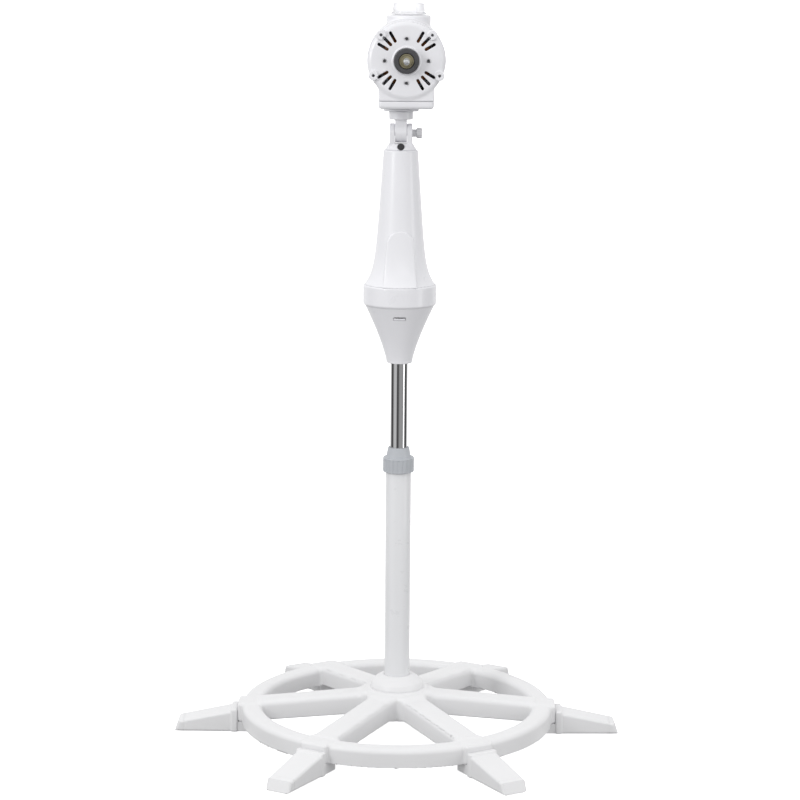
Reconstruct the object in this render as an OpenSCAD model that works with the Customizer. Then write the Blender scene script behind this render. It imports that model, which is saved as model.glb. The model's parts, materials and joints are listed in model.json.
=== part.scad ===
/* [Base] */
// Outer radius of the base ring
ring_r = 233; // [225:1:240]
// Radial width of the base ring
ring_w = 30; // [26:1:34]
// Height of the ring's underside above the floor
ring_z = 16.7; // [15:0.1:18]
// Depth of the base ring
ring_h = 28; // [24:1:32]
// Width of one spoke
spoke_w = 41; // [36:1:46]
// Distance from the centre to the tip of a leg
leg_tip_r = 334; // [310:1:350]
// Width of a leg at its root
leg_w = 44; // [40:1:48]

/* [Stem] */
// Diameter of the lower tube
tube_d = 38; // [36:0.5:40]
// Diameter of the telescoping mast
mast_d = 25.4; // [24:0.2:26]
// Height of the top of the lower tube
tube_top = 410; // [400:1:420]
// Height of the mast's lower end
mast_z = 190; // [180:1:200]

/* [Column] */
// Height of the column's lower end
col_z = 563; // [560:1:570]
// Radius of the column's widest band
band_r = 53.7; // [52:0.1:56]
// Wall thickness of the moulded shells
wall = 2.5; // [2:0.1:3]

/* [Head] */
// Height of the tilt axis
tilt_z = 899; // [896:1:902]
// Height of the motor axis
axis_z = 1006; // [1004:0.5:1008]
// Sideways offset of the motor axis from the swivel axis
axis_x = 7; // [5:0.5:8]
// Radius of the motor housing
housing_r = 56; // [55:0.1:58]
// Radius of the motor shaft
shaft_r = 4; // [3.8:0.05:4.1]
// Length of the shaft's free end that takes the blade
shaft_end = 37; // [30:1:40]

/* [Hidden] */
$fn = 96;
LEGS = 6;
run = 0.05;   // running clearance of a shaft in its hole
gap = 0.3;    // clearance between moving neighbours

// base
ring_in = ring_r - ring_w;
ring_top = ring_z + ring_h;
shell = 3.5;          // thickness of the base moulding
hub_r = 50;
hub_z = 31;           // underside of the hub
hub_floor = 37;       // where the lower tube stands
hub_top = 62;
pad_r = 43;           // raised pad under the pole cover
pad_top = 68;
spoke_end_z = 47.5;   // top of a spoke where it meets the ring
boss_r = 239;
proud = 0.3;          // the hub and the leg sockets stand this far out of the faces around them
boss_top = ring_top + proud;
washer_z = hub_z - proud - 1.5;
screw_at = 221;       // leg screws, out from the stem
post_r = 5;           // post that takes a leg screw
pilot_r = 1.9;        // hole that a screw cuts its thread in
thread_r = 1.85;
clear_r = 2.2;        // hole that a screw passes through
tongue_at = 209;      // inner end of a leg's tongue
lip_r = 249;
lip_top = 36;
leg_top = 33;         // a leg's height at its lip and at its tip
tip_top = 17;
foot_r0 = 302;        // foot pad from here to foot_r1, half as wide as foot_half
foot_r1 = 326;
foot_half = 14;
foot_t = 3;

// stem
tube_r = tube_d / 2;
tube_in = tube_r - 1.5;
mast_r = mast_d / 2;
mast_top = 650;
plug_top = 67;        // steel plug inside the foot of the lower tube
collet_z = 362;       // lower end of the collet
cover_top = 88;       // top of the pole cover

// column
cup_top = 650;
band_top = 679;
col_top = 875;
cup_r0 = 19;
cup_r1 = 47;
cup_mid = 640;        // height where the cup reaches cup_r1
arch_w = 25;
arch_r = 20;
arch_z = 740;
latch_z = 633;
knob_z = 716;         // height of the speed knob
gland_z = 612;
clamp_z = 583;
seam_screws = [770, 850];

// neck
fork_r = 14;
fork_z = 856;         // lower end of the fork's plug in the column
fork_in = 8.9;
fork_out = 16.6;
tongue = 8.5;
bolt_r = 4;
pivot_r = 11;
plate_z = 930.5;
plate_t = 3.5;

// head, lengths along the motor axis measured forward from the swivel axis
face = 82;            // front face of the cover
seam = 55;            // joint between cover and housing
back = 70;            // rear end of the housing
cover_r = 54.5;
skirt = 39.5;         // half width of the block under the motor
skirt_z = 949;
block_z = 938;
block_back = 68;      // rear face of the block under the motor
block_front = face - 3;
post_at = [33, 42];   // screws that hold the block, from the motor axis and the swivel axis
hub_ring = 20;
thread_od = 17.5;     // radius of the thread for the guard's nut
slot_r0 = 29.6;
slot_r1 = 47.2;
slot_w = 4;
lug_at = 51;
lug_r = 7;
lug_top = face + 4;
lug_angles = [45, 135, 204, 336];
screw_ring = 31;
screw_head = 2.2;      // radius of a cover screw's head
vent_at = [21, 37];   // centres of the ends of a rear vent
crown_r = 32;         // raised top of the housing under the clutch knob
crown_top = 1067;

// gears
journal_r = shaft_r + 0.4;
shaft_tip = 130;      // tip of the shaft, forward from the swivel axis
rear_r = 3;           // motor shaft's rear end
worm_r = 5.5;
wheel_r = 9;
pinion_r = 5.5;
mesh_y = 32;
spindle_x = axis_x + worm_r + wheel_r + gap;
crank_y = 48;
gear_floor = 946.7;    // floor of the recess for the gears in the block's top
crank_throw = 10;
crank_r = norm([spindle_x - axis_x, crank_y - mesh_y]) - pinion_r - gap;
link_y = 17;
pull_x = axis_x + 3;
pull_y = 37;
knob_r = 24;          // corners of the six-sided clutch knob
knob_low = 1068;
knob_high = 1084.5;
tall = 200;           // length of a cutter that only has to be long enough

white = [0.93, 0.93, 0.94];
dark = [0.23, 0.23, 0.24];
steel = [0.62, 0.63, 0.65];

// ---------- shared shapes ----------

// a tube or ring that stands on z0
module ring(r_out, r_in, z0, z1) {
    translate([0, 0, z0]) difference() {
        cylinder(r = r_out, h = z1 - z0);
        translate([0, 0, -1]) cylinder(r = r_in, h = z1 - z0 + 2);
    }
}

// a box between two corners
module block(low, high) {
    translate(low) cube(high - low);
}

// six copies around the stem
module around(n = LEGS) {
    for (i = [0 : n - 1]) rotate(i * 360 / n) children();
}

// children stand on the motor axis with +Z forward and +Y up
module on_axis(forward = 0) {
    translate([axis_x, -forward, axis_z]) rotate([90, 0, 0]) children();
}

// children point to the rear from the stem axis, at a height
module to_rear(z, y = 0) {
    translate([0, y, z]) rotate([-90, 0, 0]) children();
}

// outer radius of the flared cup under the band
function cup_r(z) = cup_r0 + (cup_r1 - cup_r0) * pow((z - col_z) / (cup_mid - col_z), 1.3);

// outer radius of the tapering column above the band
function col_r(z) = 33.2 - 0.0694 * (z - 758) + 13 * exp((band_top - z) / 19);

cup_steps = [for (i = [0 : 9]) col_z + (cup_top - col_z) * i / 9];
col_steps = [679, 683, 688, 694, 701, 710, 722, 736, 758, 817, 869];

// outline of the column from the band to its chamfered top, shifted inwards by t
function col_outline(t) = concat(
    [for (z = col_steps) [col_r(z) - t, z]], [[24.9 - t, 872], [23.2 - t, col_top]]);

// ---------- base ----------

// side view of a spoke from r0 to r1, with its top lowered by t
module spoke_side(t, r0, r1) {
    polygon([[r0, hub_z - 20], [r1, ring_z - 20], [r1, spoke_end_z - t],
             [hub_r, hub_top - t], [r0, hub_top - t]]);
}

// a spoke's body of width w from r0 to r1, cut off along its sloping underside
module spoke(t, w, r0, r1) {
    rotate([90, 0, 0]) translate([0, 0, -w / 2]) linear_extrude(w) intersection() {
        spoke_side(t, r0, r1);
        polygon([[r0, hub_z], [hub_r, hub_z], [ring_in, ring_z + 2], [r1, ring_z + 2],
                 [r1, 100], [r0, 100]]);
    }
}

// cross section of the ring with rounded top edges, drawn smaller by t
module ring_section(t) {
    round_r = 8 - t / 2;
    w = ring_w - 2 * t;
    translate([ring_in + t, ring_z - t]) {
        square([w, ring_h - round_r]);
        translate([round_r, 0]) square([w - 2 * round_r, ring_h]);
        for (x = [round_r, w - round_r]) translate([x, ring_h - round_r]) circle(round_r);
    }
}

module base_frame() color(white) difference() {
    union() {
        difference() {
            union() {
                rotate_extrude() ring_section(0);
                around() spoke(0, spoke_w, 0, ring_in + 5);
                around() block([ring_in - 3, -leg_w / 2, ring_z + proud], [boss_r, leg_w / 2, boss_top]);
                translate([0, 0, hub_z - proud]) cylinder(r = hub_r, h = hub_top - hub_z + 2 * proud);
                translate([0, 0, hub_top - 1]) cylinder(r = pad_r, h = pad_top - hub_top + 1);
            }
            rotate_extrude() ring_section(shell);
            around() intersection() {
                spoke(shell, spoke_w - 2 * shell, hub_r + 8, ring_in + 8);
                block([0, -spoke_w, 0], [ring_in + 8, spoke_w, hub_top]);
            }
            around() block([ring_in + 1, -leg_w / 2 + shell, 0],
                           [boss_r - shell, leg_w / 2 - shell, ring_top - shell - 1]);
            translate([0, 0, hub_floor]) cylinder(r = tube_r + 0.1, h = 60);
            cylinder(r = bolt_r + gap, h = 60);
        }
        around() translate([screw_at, 0, ring_z]) cylinder(r = post_r, h = ring_h - 2);
    }
    around() translate([screw_at, 0, 0]) cylinder(r = pilot_r, h = 38);
}

// a leg along +X: inner tongue under the ring, lip against the boss, tapering body
module leg() color(white) difference() {
    union() {
        block([tongue_at, -20, 1], [boss_r + 1, 20, ring_z - 0.2]);
        block([boss_r + 0.2, -leg_w / 2 - 1, 1], [lip_r, leg_w / 2 + 1, lip_top]);
        intersection() {
            rotate([90, 0, 0]) translate([0, 0, -leg_w]) linear_extrude(2 * leg_w)
                polygon([[boss_r + 0.2, 1], [leg_tip_r, 1], [leg_tip_r - 6, tip_top], [lip_r, leg_top],
                         [boss_r + 0.2, leg_top]]);
            linear_extrude(40) polygon([[boss_r, -leg_w / 2], [leg_tip_r, -leg_w / 2 + 2],
                                        [leg_tip_r, leg_w / 2 - 2], [boss_r, leg_w / 2]]);
        }
    }
    rotate([90, 0, 0]) translate([0, 0, -17]) linear_extrude(34)
        polygon([[lip_r - 6, 0], [foot_r0 - 4, 0], [foot_r0 - 4, tip_top + 2], [lip_r + 1, leg_top - 4],
                 [lip_r - 6, leg_top - 4]]);
    foot_pad();
    translate([screw_at, 0, 0]) {
        cylinder(r = clear_r, h = 30);
        cylinder(r = 4.6, h = 7);
    }
}

module foot_pad() block([foot_r0, -foot_half, 0], [foot_r1, foot_half, foot_t]);

module foot_pads() color([0.15, 0.15, 0.15]) around() foot_pad();

module leg_screws() color(steel) around() translate([screw_at, 0, 0]) {
    translate([0, 0, 3.5]) cylinder(r = 4, h = 3.5);
    translate([0, 0, 3.5]) cylinder(r = thread_r, h = 30);
}

module pole_cover() color(white) rotate_extrude()
    polygon([[tube_r + 0.2, pad_top], [40, pad_top], [39, 71], [34, 76], [28, 80.5], [23.5, 85],
             [21.5, cover_top], [tube_r + 0.2, cover_top], [tube_r + 0.2, 84], [25, 79], [36, 71]]);

// ---------- stem ----------

module lower_tube() color(white) ring(tube_r, tube_in, hub_floor, tube_top);

module tube_plug() color(steel) ring(tube_in - run, bolt_r + run, hub_floor, plug_top);

module hub_bolt() color(steel) {
    translate([0, 0, washer_z - 6]) cylinder(r = 7.5, h = 6, $fn = 6);
    translate([0, 0, washer_z - 1]) cylinder(r = bolt_r, h = 32);
}

module hub_washer() color(steel) ring(10, bolt_r + 0.2, washer_z, hub_z - proud);

module collet_sleeve() color(dark) difference() {
    rotate_extrude() polygon([
        [mast_r + run, collet_z], [tube_in - run, collet_z], [tube_in - run, tube_top],
        [tube_r - 0.1, tube_top], [tube_r - 0.1, tube_top + 2], [15.6, tube_top + 2],
        [15.6, tube_top + 10], [13.6, tube_top + 18],
        [mast_r + run, tube_top + 18]]);
    for (a = [0, 90]) rotate(a) block([-30, -1, tube_top - 25], [30, 1, tube_top + 30]);
}

module height_lock_nut() color([0.64, 0.66, 0.69]) difference() {
    rotate_extrude() polygon([
        [tube_r + gap, tube_top - 11], [22.6, tube_top - 11], [23.25, tube_top - 10], [23.25, tube_top + 10],
        [22.6, tube_top + 11], [18.5, tube_top + 11], [15.6, tube_top + 26], [13.1, tube_top + 26],
        [13.1, tube_top + 18.4], [14, tube_top + 18.4], [16, tube_top + 10.4], [16, tube_top + 2.4],
        [tube_r + gap, tube_top + 2.4]]);
    around(20) translate([24.1, 0, tube_top - 9]) cylinder(r = 1.3, h = 18);
}

module mast_tube() color([0.75, 0.76, 0.78]) ring(mast_r, mast_r - 1.2, mast_z, mast_top);

module mast_bush() color(dark) ring(tube_in - run, mast_r + 0.02, mast_z, mast_z + 25);

// ---------- column ----------

module column_cup() color(white) difference() {
    union() {
        rotate_extrude() polygon(concat(
            [for (z = cup_steps) [cup_r(z), z]],
            [for (i = [9 : -1 : 0]) [cup_r(cup_steps[i]) - wall, cup_steps[i]]]));
        rotate_extrude() polygon([
            [44, cup_top], [52.7, cup_top], [band_r, cup_top + 1], [band_r, band_top - 1.5],
            [52.2, band_top], [38, band_top], [38, band_top - wall], [band_r - wall, band_top - wall],
            [band_r - wall, cup_top + wall], [44, cup_top + wall]]);
        ring(15.3, mast_r + 0.1, col_z, 645);
        ring(cup_r0, mast_r + 0.1, col_z, col_z + 3);
    }
    block([-8.8, -60, latch_z - 2.5], [8.8, -20, latch_z + 2.5]);
    to_rear(gland_z, 20) cylinder(r = 6.1, h = 40);
    to_rear(clamp_z, 5) cylinder(r = 3.1, h = 40);
    to_rear(clamp_z, 20.9) cylinder(r = 5.2, h = 20);
    cylinder(r = mast_r + 0.1, h = mast_top);
}

module mast_clamp_screw() color(steel) {
    to_rear(clamp_z, mast_r + 0.02) cylinder(r = 3, h = 9);
    difference() {
        to_rear(clamp_z, 21) cylinder(r = 5, h = 3.5);
        to_rear(clamp_z, 22.5) cylinder(r = 2.3, h = 5, $fn = 6);
    }
}

// the whole column shell before it is split into halves
module column_shell() {
    difference() {
        union() {
            difference() {
                rotate_extrude() polygon(concat([[0, band_top]], col_outline(0), [[0, col_top]]));
                rotate_extrude() polygon(concat([[0, band_top - 1], [col_r(band_top) - wall, band_top - 1]],
                    [for (z = col_steps) [col_r(z) - wall, z]], [[22.4, 871], [0, 871]]));
            }
            intersection() {
                for (z = seam_screws) to_rear(z, -60) cylinder(r = 4.4, h = 120);
                rotate_extrude() polygon(concat([[0, band_top]], col_outline(1), [[0, col_top]]));
            }
            difference() {
                to_rear(knob_z, 30) cylinder(r = 19, h = 14.5);
                rotate_extrude() polygon(concat([[0, 690]],
                    [for (z = [690 : 10 : 760]) [col_r(z) - 1, z]], [[0, 760]]));
            }
        }
        for (z = seam_screws) {
            to_rear(z, -12.5) cylinder(r = 1.75, h = 80);
            to_rear(z, col_r(z) - 4) cylinder(r = 3.8, h = 20);
        }
        to_rear(knob_z, 20) cylinder(r = 3.2, h = 40);
        translate([0, 0, 860]) cylinder(r = 20.2, h = 30);
    }
}

module column_front() color(white) intersection() {
    column_shell();
    block([-80, -80, band_top], [80, -0.1, col_top]);
}

module column_rear() color(white) intersection() {
    column_shell();
    block([-80, 0.1, band_top], [80, 80, col_top]);
}

module control_fascia() color(white) intersection() {
    rotate_extrude() polygon(concat(
        [for (z = [680 : 7 : 764]) [col_r(z) + 0.2, z]],
        [for (z = [764 : -7 : 680]) [col_r(z) + 2.2, z]]));
    rotate([90, 0, 0]) linear_extrude(80) {
        polygon([[-arch_w, 680], [arch_w, 680], [arch_r, arch_z], [-arch_r, arch_z]]);
        translate([0, arch_z]) circle(arch_r);
    }
}

module latch_tab() color(white)
    block([-8.3, -43, latch_z - 2.1], [8.3, -36, latch_z + 1.2]);

module column_screws() color(steel) for (z = seam_screws) {
    to_rear(z, -12) cylinder(r = 1.6, h = col_r(z) + 10);
    to_rear(z, col_r(z) - 3.9) cylinder(r = 3.4, h = 2.4);
}

module circuit_board() color([0.12, 0.35, 0.2]) block([-18, -16, 690], [18, -14.4, 745]);

module capacitor() color([0.9, 0.9, 0.85]) block([-18, -10, 686], [18, 5, 708]);

module speed_switch() color(dark) block([-12, 8, 702], [12, 29.5, 730]);

module speed_knob() color(white) {
    to_rear(knob_z, 44.8) cylinder(r = 16, h = 4);
    to_rear(knob_z, 48) cylinder(r = 14, h = 10);
    to_rear(knob_z, 30) cylinder(r = 2.9, h = 16);
    block([-2.2, 48, knob_z - 15.5], [2.2, 59.5, knob_z + 15.5]);
}

module cord_gland() color(dark) difference() {
    union() {
        to_rear(gland_z, 24) cylinder(r = 6, h = 20);
        to_rear(gland_z, 38) cylinder(r1 = 8, r2 = 5.5, h = 13);
    }
    to_rear(gland_z, 20) cylinder(r = 3.5, h = 40);
}

// ---------- neck ----------

// children lie along +X on the tilt axis
module on_tilt(x) {
    translate([x, 0, tilt_z]) rotate([0, 90, 0]) children();
}

module neck_fork() color(white) difference() {
    union() {
        translate([0, 0, fork_z]) cylinder(r = 20, h = 876 - fork_z);
        translate([0, 0, col_top]) cylinder(r1 = 23, r2 = 17.6, h = 9);
        intersection() {
            union() {
                for (x = [-fork_out, fork_in]) on_tilt(x) cylinder(r = fork_r, h = fork_out - fork_in);
                for (x = [-fork_out, fork_in])
                    block([x, -fork_r, 880], [x + fork_out - fork_in, fork_r, tilt_z]);
            }
            translate([0, 0, 870]) cylinder(r = 21.5, h = 50);
        }
    }
    translate([0, 0, fork_z - 1]) cylinder(r = 12, h = 879 - fork_z);
    on_tilt(-30) cylinder(r = bolt_r + 0.1, h = 60);
    on_tilt(-fork_out - 1) cylinder(r = 7.4, h = 5);
    to_rear(880.5, -30) cylinder(r = 2.6, h = 22);
    to_rear(880.5, -30) cylinder(r = 5.4, h = 12.2);
}

module neck_screw() color(dark) difference() {
    union() {
        to_rear(880.5, -20.5) cylinder(r = 5, h = 2.6);
        to_rear(880.5, -18) cylinder(r = 2.5, h = 9.8);
    }
    block([-4, -21, 879.9], [4, -19.4, 881.1]);
    block([-0.6, -21, 876.5], [0.6, -19.4, 884.5]);
}

module tilt_bolt() color(steel) {
    on_tilt(-16.2) cylinder(r = 7, h = 3.5, $fn = 6);
    on_tilt(-16.2) cylinder(r = bolt_r, h = 44.2);
}

module tilt_washer() color(dark) difference() {
    on_tilt(fork_out + 0.1) cylinder(r = 5.5, h = 4.6);
    on_tilt(0) cylinder(r = bolt_r + 0.02, h = 40);
}

module tilt_knob() color([0.8, 0.8, 0.82]) difference() {
    union() {
        on_tilt(21.6) cylinder(r = 6.2, h = 2);
        on_tilt(22.6) cylinder(r = 7.5, h = 7.9);
    }
    on_tilt(0) cylinder(r = bolt_r + run, h = 29);
    for (a = [0 : 30 : 330])
        on_tilt(23.6) rotate(a) translate([8.1, 0, 0]) cylinder(r = 1.1, h = 6);
}

module tilt_yoke() color(white) difference() {
    union() {
        on_tilt(-tongue) cylinder(r = fork_r - 0.4, h = 2 * tongue);
        block([-tongue, -12, tilt_z], [tongue, 12, 920]);
        translate([0, 0, 919]) cylinder(r = 17.5, h = plate_z - 919);
    }
    on_tilt(-30) cylinder(r = bolt_r + run, h = 60);
    translate([0, 0, 912]) cylinder(r = 6.02, h = 40);
}

module link_plate() color(white) difference() {
    union() {
        block([-25.5, -12, plate_z], [25.5, 16, plate_z + plate_t]);
        block([-10, 0, plate_z], [10, 24, plate_z + plate_t]);
        block([-20, -15, plate_z], [20, 20, plate_z + plate_t]);
    }
    translate([0, 0, plate_z - 1]) cylinder(r = 6.05, h = 10);
    translate([0, link_y, plate_z - 1]) cylinder(r = 2.52, h = 10);
}

module pivot_shaft() color(steel) {
    translate([0, 0, 912]) cylinder(r = 6, h = 23);
    difference() {
        translate([0, 0, plate_z + plate_t]) cylinder(r = pivot_r, h = 28.5);
        ring(pivot_r + 1, 9.8, 960.2, 961.4);
    }
}

module pivot_clip() color(steel) difference() {
    ring(14, 10, 960.3, 961.3);
    block([-3, -20, 950], [3, -5, 970]);
}

module link_rivet() color(steel) translate([0, link_y, 0]) {
    translate([0, 0, plate_z]) cylinder(r = 2.5, h = 6.4);
    translate([0, 0, plate_z + 6]) cylinder(r = 4, h = 0.8);
}

// flat bar from the rivet to a point just under the crank pin
module oscillation_link() color(steel) {
    far = [axis_x, crank_y - crank_throw];
    reach = norm(far - [0, link_y]);
    translate([0, link_y, plate_z + plate_t + 0.4]) rotate(atan2(far[1] - link_y, far[0])) difference() {
        union() {
            for (x = [0, reach]) translate([x, 0, 0]) cylinder(r = 5, h = 2);
            block([0, -3.5, 0], [reach, 3.5, 2]);
        }
        translate([0, 0, -1]) cylinder(r = 2.5 + run, h = 4);
        translate([reach, 0, -1]) cylinder(r = 2.8, h = 4);
    }
}

// ---------- head ----------

// round body of the front cover, drawn smaller by t
module cover_round(t) {
    round_r = 6;
    r = cover_r - t;
    top = face - t;
    rotate_extrude() {
        square([r, top - round_r]);
        square([r - round_r, top]);
        translate([r - round_r, top - round_r]) circle(round_r);
    }
}

module front_cover() color(white) difference() {
    union() {
        difference() {
            union() {
                on_axis(0) cover_round(0);
                block([axis_x - skirt, -block_front, skirt_z], [axis_x + skirt, -10, axis_z - 30]);
            }
            on_axis(0) cover_round(wall);
            block([axis_x - skirt + wall, -block_front + wall, skirt_z - 1],
                  [axis_x + skirt - wall, 0, axis_z - 30]);
            block([-tall, -seam, skirt_z - 1], [tall, tall, axis_z + tall]);
        }
        on_axis(62) for (a = lug_angles) rotate(a) translate([lug_at, 0, 0])
            cylinder(r = lug_r, h = lug_top - 62);
        on_axis(60) cylinder(r = 13.5, h = face - 60);
        on_axis(face - 1) cylinder(r = hub_ring, h = 3.5);
        on_axis(70) around(4) translate([0, screw_ring, 0]) cylinder(r = 4.5, h = 11);
    }
    on_axis(50) cylinder(r = 10.55, h = 60);
    on_axis(face) cylinder(r = thread_od + 0.5, h = 10);
    on_axis(70) around(4) translate([0, screw_ring, -2]) cylinder(r = 1.6, h = 30);
    on_axis(72) for (a = lug_angles) rotate(a) translate([lug_at, 0, 0]) cylinder(r = 2, h = 30);
    on_axis(face - 6) for (q = [45 : 90 : 315], s = [-1 : 1]) rotate(q + s * 14.5) {
        translate([slot_r0 + slot_w / 2, -slot_w / 2, 0]) cube([slot_r1 - slot_r0 - slot_w, slot_w, 10]);
        for (r = [slot_r0, slot_r1 - slot_w])
            translate([r + slot_w / 2, 0, 0]) cylinder(r = slot_w / 2, h = 10);
    }
}

module guard_thread() color(dark) on_axis(face) difference() {
    union() {
        translate([0, 0, 0.02]) cylinder(r = 16.5, h = 4);
        translate([0, 0, 3]) cylinder(r = thread_od, h = 9);
    }
    translate([0, 0, -1]) cylinder(r = 11.2, h = 20);
}

module nose_bush() color(steel) on_axis(60) difference() {
    cylinder(r = 10.5, h = 31);
    translate([0, 0, -1]) cylinder(r = 8.05, h = 40);
}

module cover_screws() color([0.2, 0.2, 0.2]) on_axis(face) around(4) translate([0, screw_ring, 0]) {
    difference() {
        cylinder(r = screw_head, h = 1.8);
        translate([-1.6, -0.4, 0.9]) cube([3.2, 0.8, 2]);
        translate([-0.4, -1.6, 0.9]) cube([0.8, 3.2, 2]);
    }
    translate([0, 0, -9]) cylinder(r = 1.5, h = 9.5);
}

// round body of the rear housing, drawn smaller by t
module housing_round(t) {
    round_r = 14;
    r = housing_r - t;
    end = seam + back - t;
    rotate_extrude() {
        square([r, end - round_r]);
        square([r - round_r, end]);
        translate([r - round_r, end - round_r]) circle(round_r);
    }
}

// children at the four screws that hold the block under the housing
module at_posts(z) {
    for (x = [-post_at[0], post_at[0]], y = [-post_at[1], post_at[1]])
        translate([axis_x + x, y, z]) children();
}

module motor_housing() color(white) difference() {
    union() {
        difference() {
            union() {
                on_axis(seam) mirror([0, 0, 1]) housing_round(0);
                block([axis_x - skirt, -seam, skirt_z], [axis_x + skirt, block_back, axis_z - 30]);
                translate([pull_x, pull_y, axis_z + 30]) cylinder(r = crown_r, h = crown_top - axis_z - 30);
            }
            on_axis(seam) mirror([0, 0, 1]) translate([0, 0, -1]) housing_round(wall);
            block([axis_x - skirt + wall, -seam - 1, skirt_z - 1],
                  [axis_x + skirt - wall, block_back - wall, axis_z - 30]);
        }
        at_posts(skirt_z) cylinder(r = 5.2, h = 16);
        on_axis(8) rotate(45) around(4) block([42.1, -2, 0], [housing_r - 1, 2, 32]);
    }
    at_posts(skirt_z - 1) cylinder(r = pilot_r, h = 15);
    translate([pull_x, pull_y, axis_z + 30]) cylinder(r = 3.6, h = 50);
    on_axis(-back - 5) for (a = [0 : 30 : 330]) rotate(a) {
        translate([vent_at[0], -2, 0]) cube([vent_at[1] - vent_at[0], 4, 12]);
        for (r = vent_at) translate([r, 0, 0]) cylinder(r = 2, h = 12);
    }
}

// cross section of the block, seen from the front, with rounded lower corners
module block_section() {
    corner = 5;
    translate([-skirt, block_z + corner]) square([2 * skirt, skirt_z - gap - block_z - corner]);
    translate([-skirt + corner, block_z]) square([2 * (skirt - corner), skirt_z - gap - block_z]);
    for (x = [-1, 1]) translate([x * (skirt - corner), block_z + corner]) intersection() {
        circle(corner);
        translate([-corner, -corner]) square([2 * corner, skirt_z - gap - block_z]);
    }
}

module swivel_block() color(white) difference() {
    union() {
        translate([axis_x, block_back, 0]) rotate([90, 0, 0]) linear_extrude(block_back + block_front)
            block_section();
        translate([0, 0, block_z]) cylinder(r = pivot_r + 5, h = 22);
    }
    translate([0, 0, block_z - 1]) cylinder(r = pivot_r + run, h = tall);
    translate([axis_x, crank_y, block_z - 1]) cylinder(r = crank_throw + 3.5, h = tall);
    translate([axis_x, crank_y, gear_floor]) cylinder(r = crank_r + 1.8, h = 10);
    translate([spindle_x, mesh_y, gear_floor]) cylinder(r = pinion_r + 1.8, h = 10);
    at_posts(block_z - 1) {
        cylinder(r = clear_r, h = 20);
        cylinder(r = 4.4, h = 4);
    }
}

module housing_screws() color(steel) at_posts(block_z + 0.6) {
    cylinder(r = 4, h = 2.2);
    cylinder(r = thread_r, h = 20);
}

module stator_core() color([0.45, 0.46, 0.48]) on_axis(4) difference() {
    cylinder(r = 42, h = 40);
    translate([0, 0, -1]) cylinder(r = 22, h = 42);
}

module windings() color([0.72, 0.42, 0.25]) for (f = [-8, 44.3]) on_axis(f) rotate_extrude() {
    translate([24, 2]) square([14, 7.5]);
    translate([26, 0]) square([10, 11.5]);
}

module front_bearing() color([0.4, 0.36, 0.25]) on_axis(60) difference() {
    cylinder(r = 8, h = 28);
    translate([0, 0, -1]) cylinder(r = journal_r + run, h = 40);
}

module rear_bearing() color([0.4, 0.36, 0.25]) on_axis(-22) difference() {
    cylinder(r = 8, h = 10);
    translate([0, 0, -1]) cylinder(r = journal_r + run, h = 40);
}

module gearbox_case() color(dark) difference() {
    union() {
        block([axis_x - 13, 16, 956], [axis_x + 27, 62, 1032]);
        on_axis(-22) cylinder(r = 11, h = 9);
    }
    difference() {
        block([axis_x - 11, 18, 958], [axis_x + 25, 60, 1030]);
        on_axis(-22) cylinder(r = 11, h = 9);
    }
    on_axis(-23) cylinder(r = 8.05, h = 20);
    translate([spindle_x, mesh_y, 950]) cylinder(r = 3 + run, h = 20);
    translate([axis_x, crank_y, 950]) cylinder(r = bolt_r + run, h = 20);
    translate([pull_x, pull_y, 1020]) cylinder(r = 3.6, h = 20);
}

module motor_shaft() color([0.7, 0.71, 0.73]) {
    on_axis(-22.3) cylinder(r = journal_r, h = 22.3 + shaft_tip - shaft_end);
    on_axis(shaft_tip - shaft_end - 1) cylinder(r = shaft_r, h = shaft_end + 1);
    on_axis(-44) cylinder(r = rear_r, h = 30);
}

module rotor_core() color([0.55, 0.56, 0.58]) on_axis(2) difference() {
    cylinder(r = 21.5, h = 44);
    translate([0, 0, -1]) cylinder(r = journal_r + 0.01, h = 50);
}

module worm() color([0.7, 0.6, 0.3]) on_axis(-40) difference() {
    cylinder(r = worm_r, h = 16);
    translate([0, 0, -1]) cylinder(r = rear_r + 0.01, h = 20);
    for (z = [1.5 : 2 : 15]) ring_groove(worm_r, z);
}

// a shallow groove around a cylinder of radius r
module ring_groove(r, z) {
    translate([0, 0, z]) rotate_extrude() translate([r, 0]) circle(0.6, $fn = 24);
}

// a plain gear: a disc with rounded tooth gaps
module gear(r, teeth, h) {
    difference() {
        cylinder(r = r, h = h);
        around(teeth) translate([r, 0, -1]) cylinder(r = 0.32 * PI * r * 2 / teeth, h = h + 2, $fn = 16);
    }
}

module worm_wheel() color([0.9, 0.88, 0.8]) translate([spindle_x, mesh_y, 0]) {
    translate([0, 0, axis_z - 5]) gear(wheel_r, 24, 10);
    translate([0, 0, 947.5]) gear(pinion_r, 11, 7);
    translate([0, 0, 947.5]) cylinder(r = 3, h = 67);
}

module crank_gear() color([0.9, 0.88, 0.8]) translate([axis_x, crank_y, 0]) {
    translate([0, 0, 947.5]) gear(crank_r, 32, 6);
    translate([0, 0, 950]) cylinder(r = bolt_r, h = 14);
    translate([0, -crank_throw, 936.8]) cylinder(r = 2.5, h = 12);
}

module clutch_knob() color(white) difference() {
    union() {
        translate([pull_x, pull_y, knob_low + 2]) cylinder(r = knob_r, h = knob_high - knob_low - 2, $fn = 6);
        translate([pull_x, pull_y, knob_low]) cylinder(r = knob_r + 1.5, h = 3);
        translate([pull_x, pull_y, 1015.5]) cylinder(r = 3.2, h = 56);
        block([pull_x - 4, mesh_y, 1015.5], [spindle_x + 6, pull_y + 4, 1018]);
    }
    translate([spindle_x, mesh_y, 1010]) cylinder(r = 3.6, h = 12);
}

// ---------- drawing ----------

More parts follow.
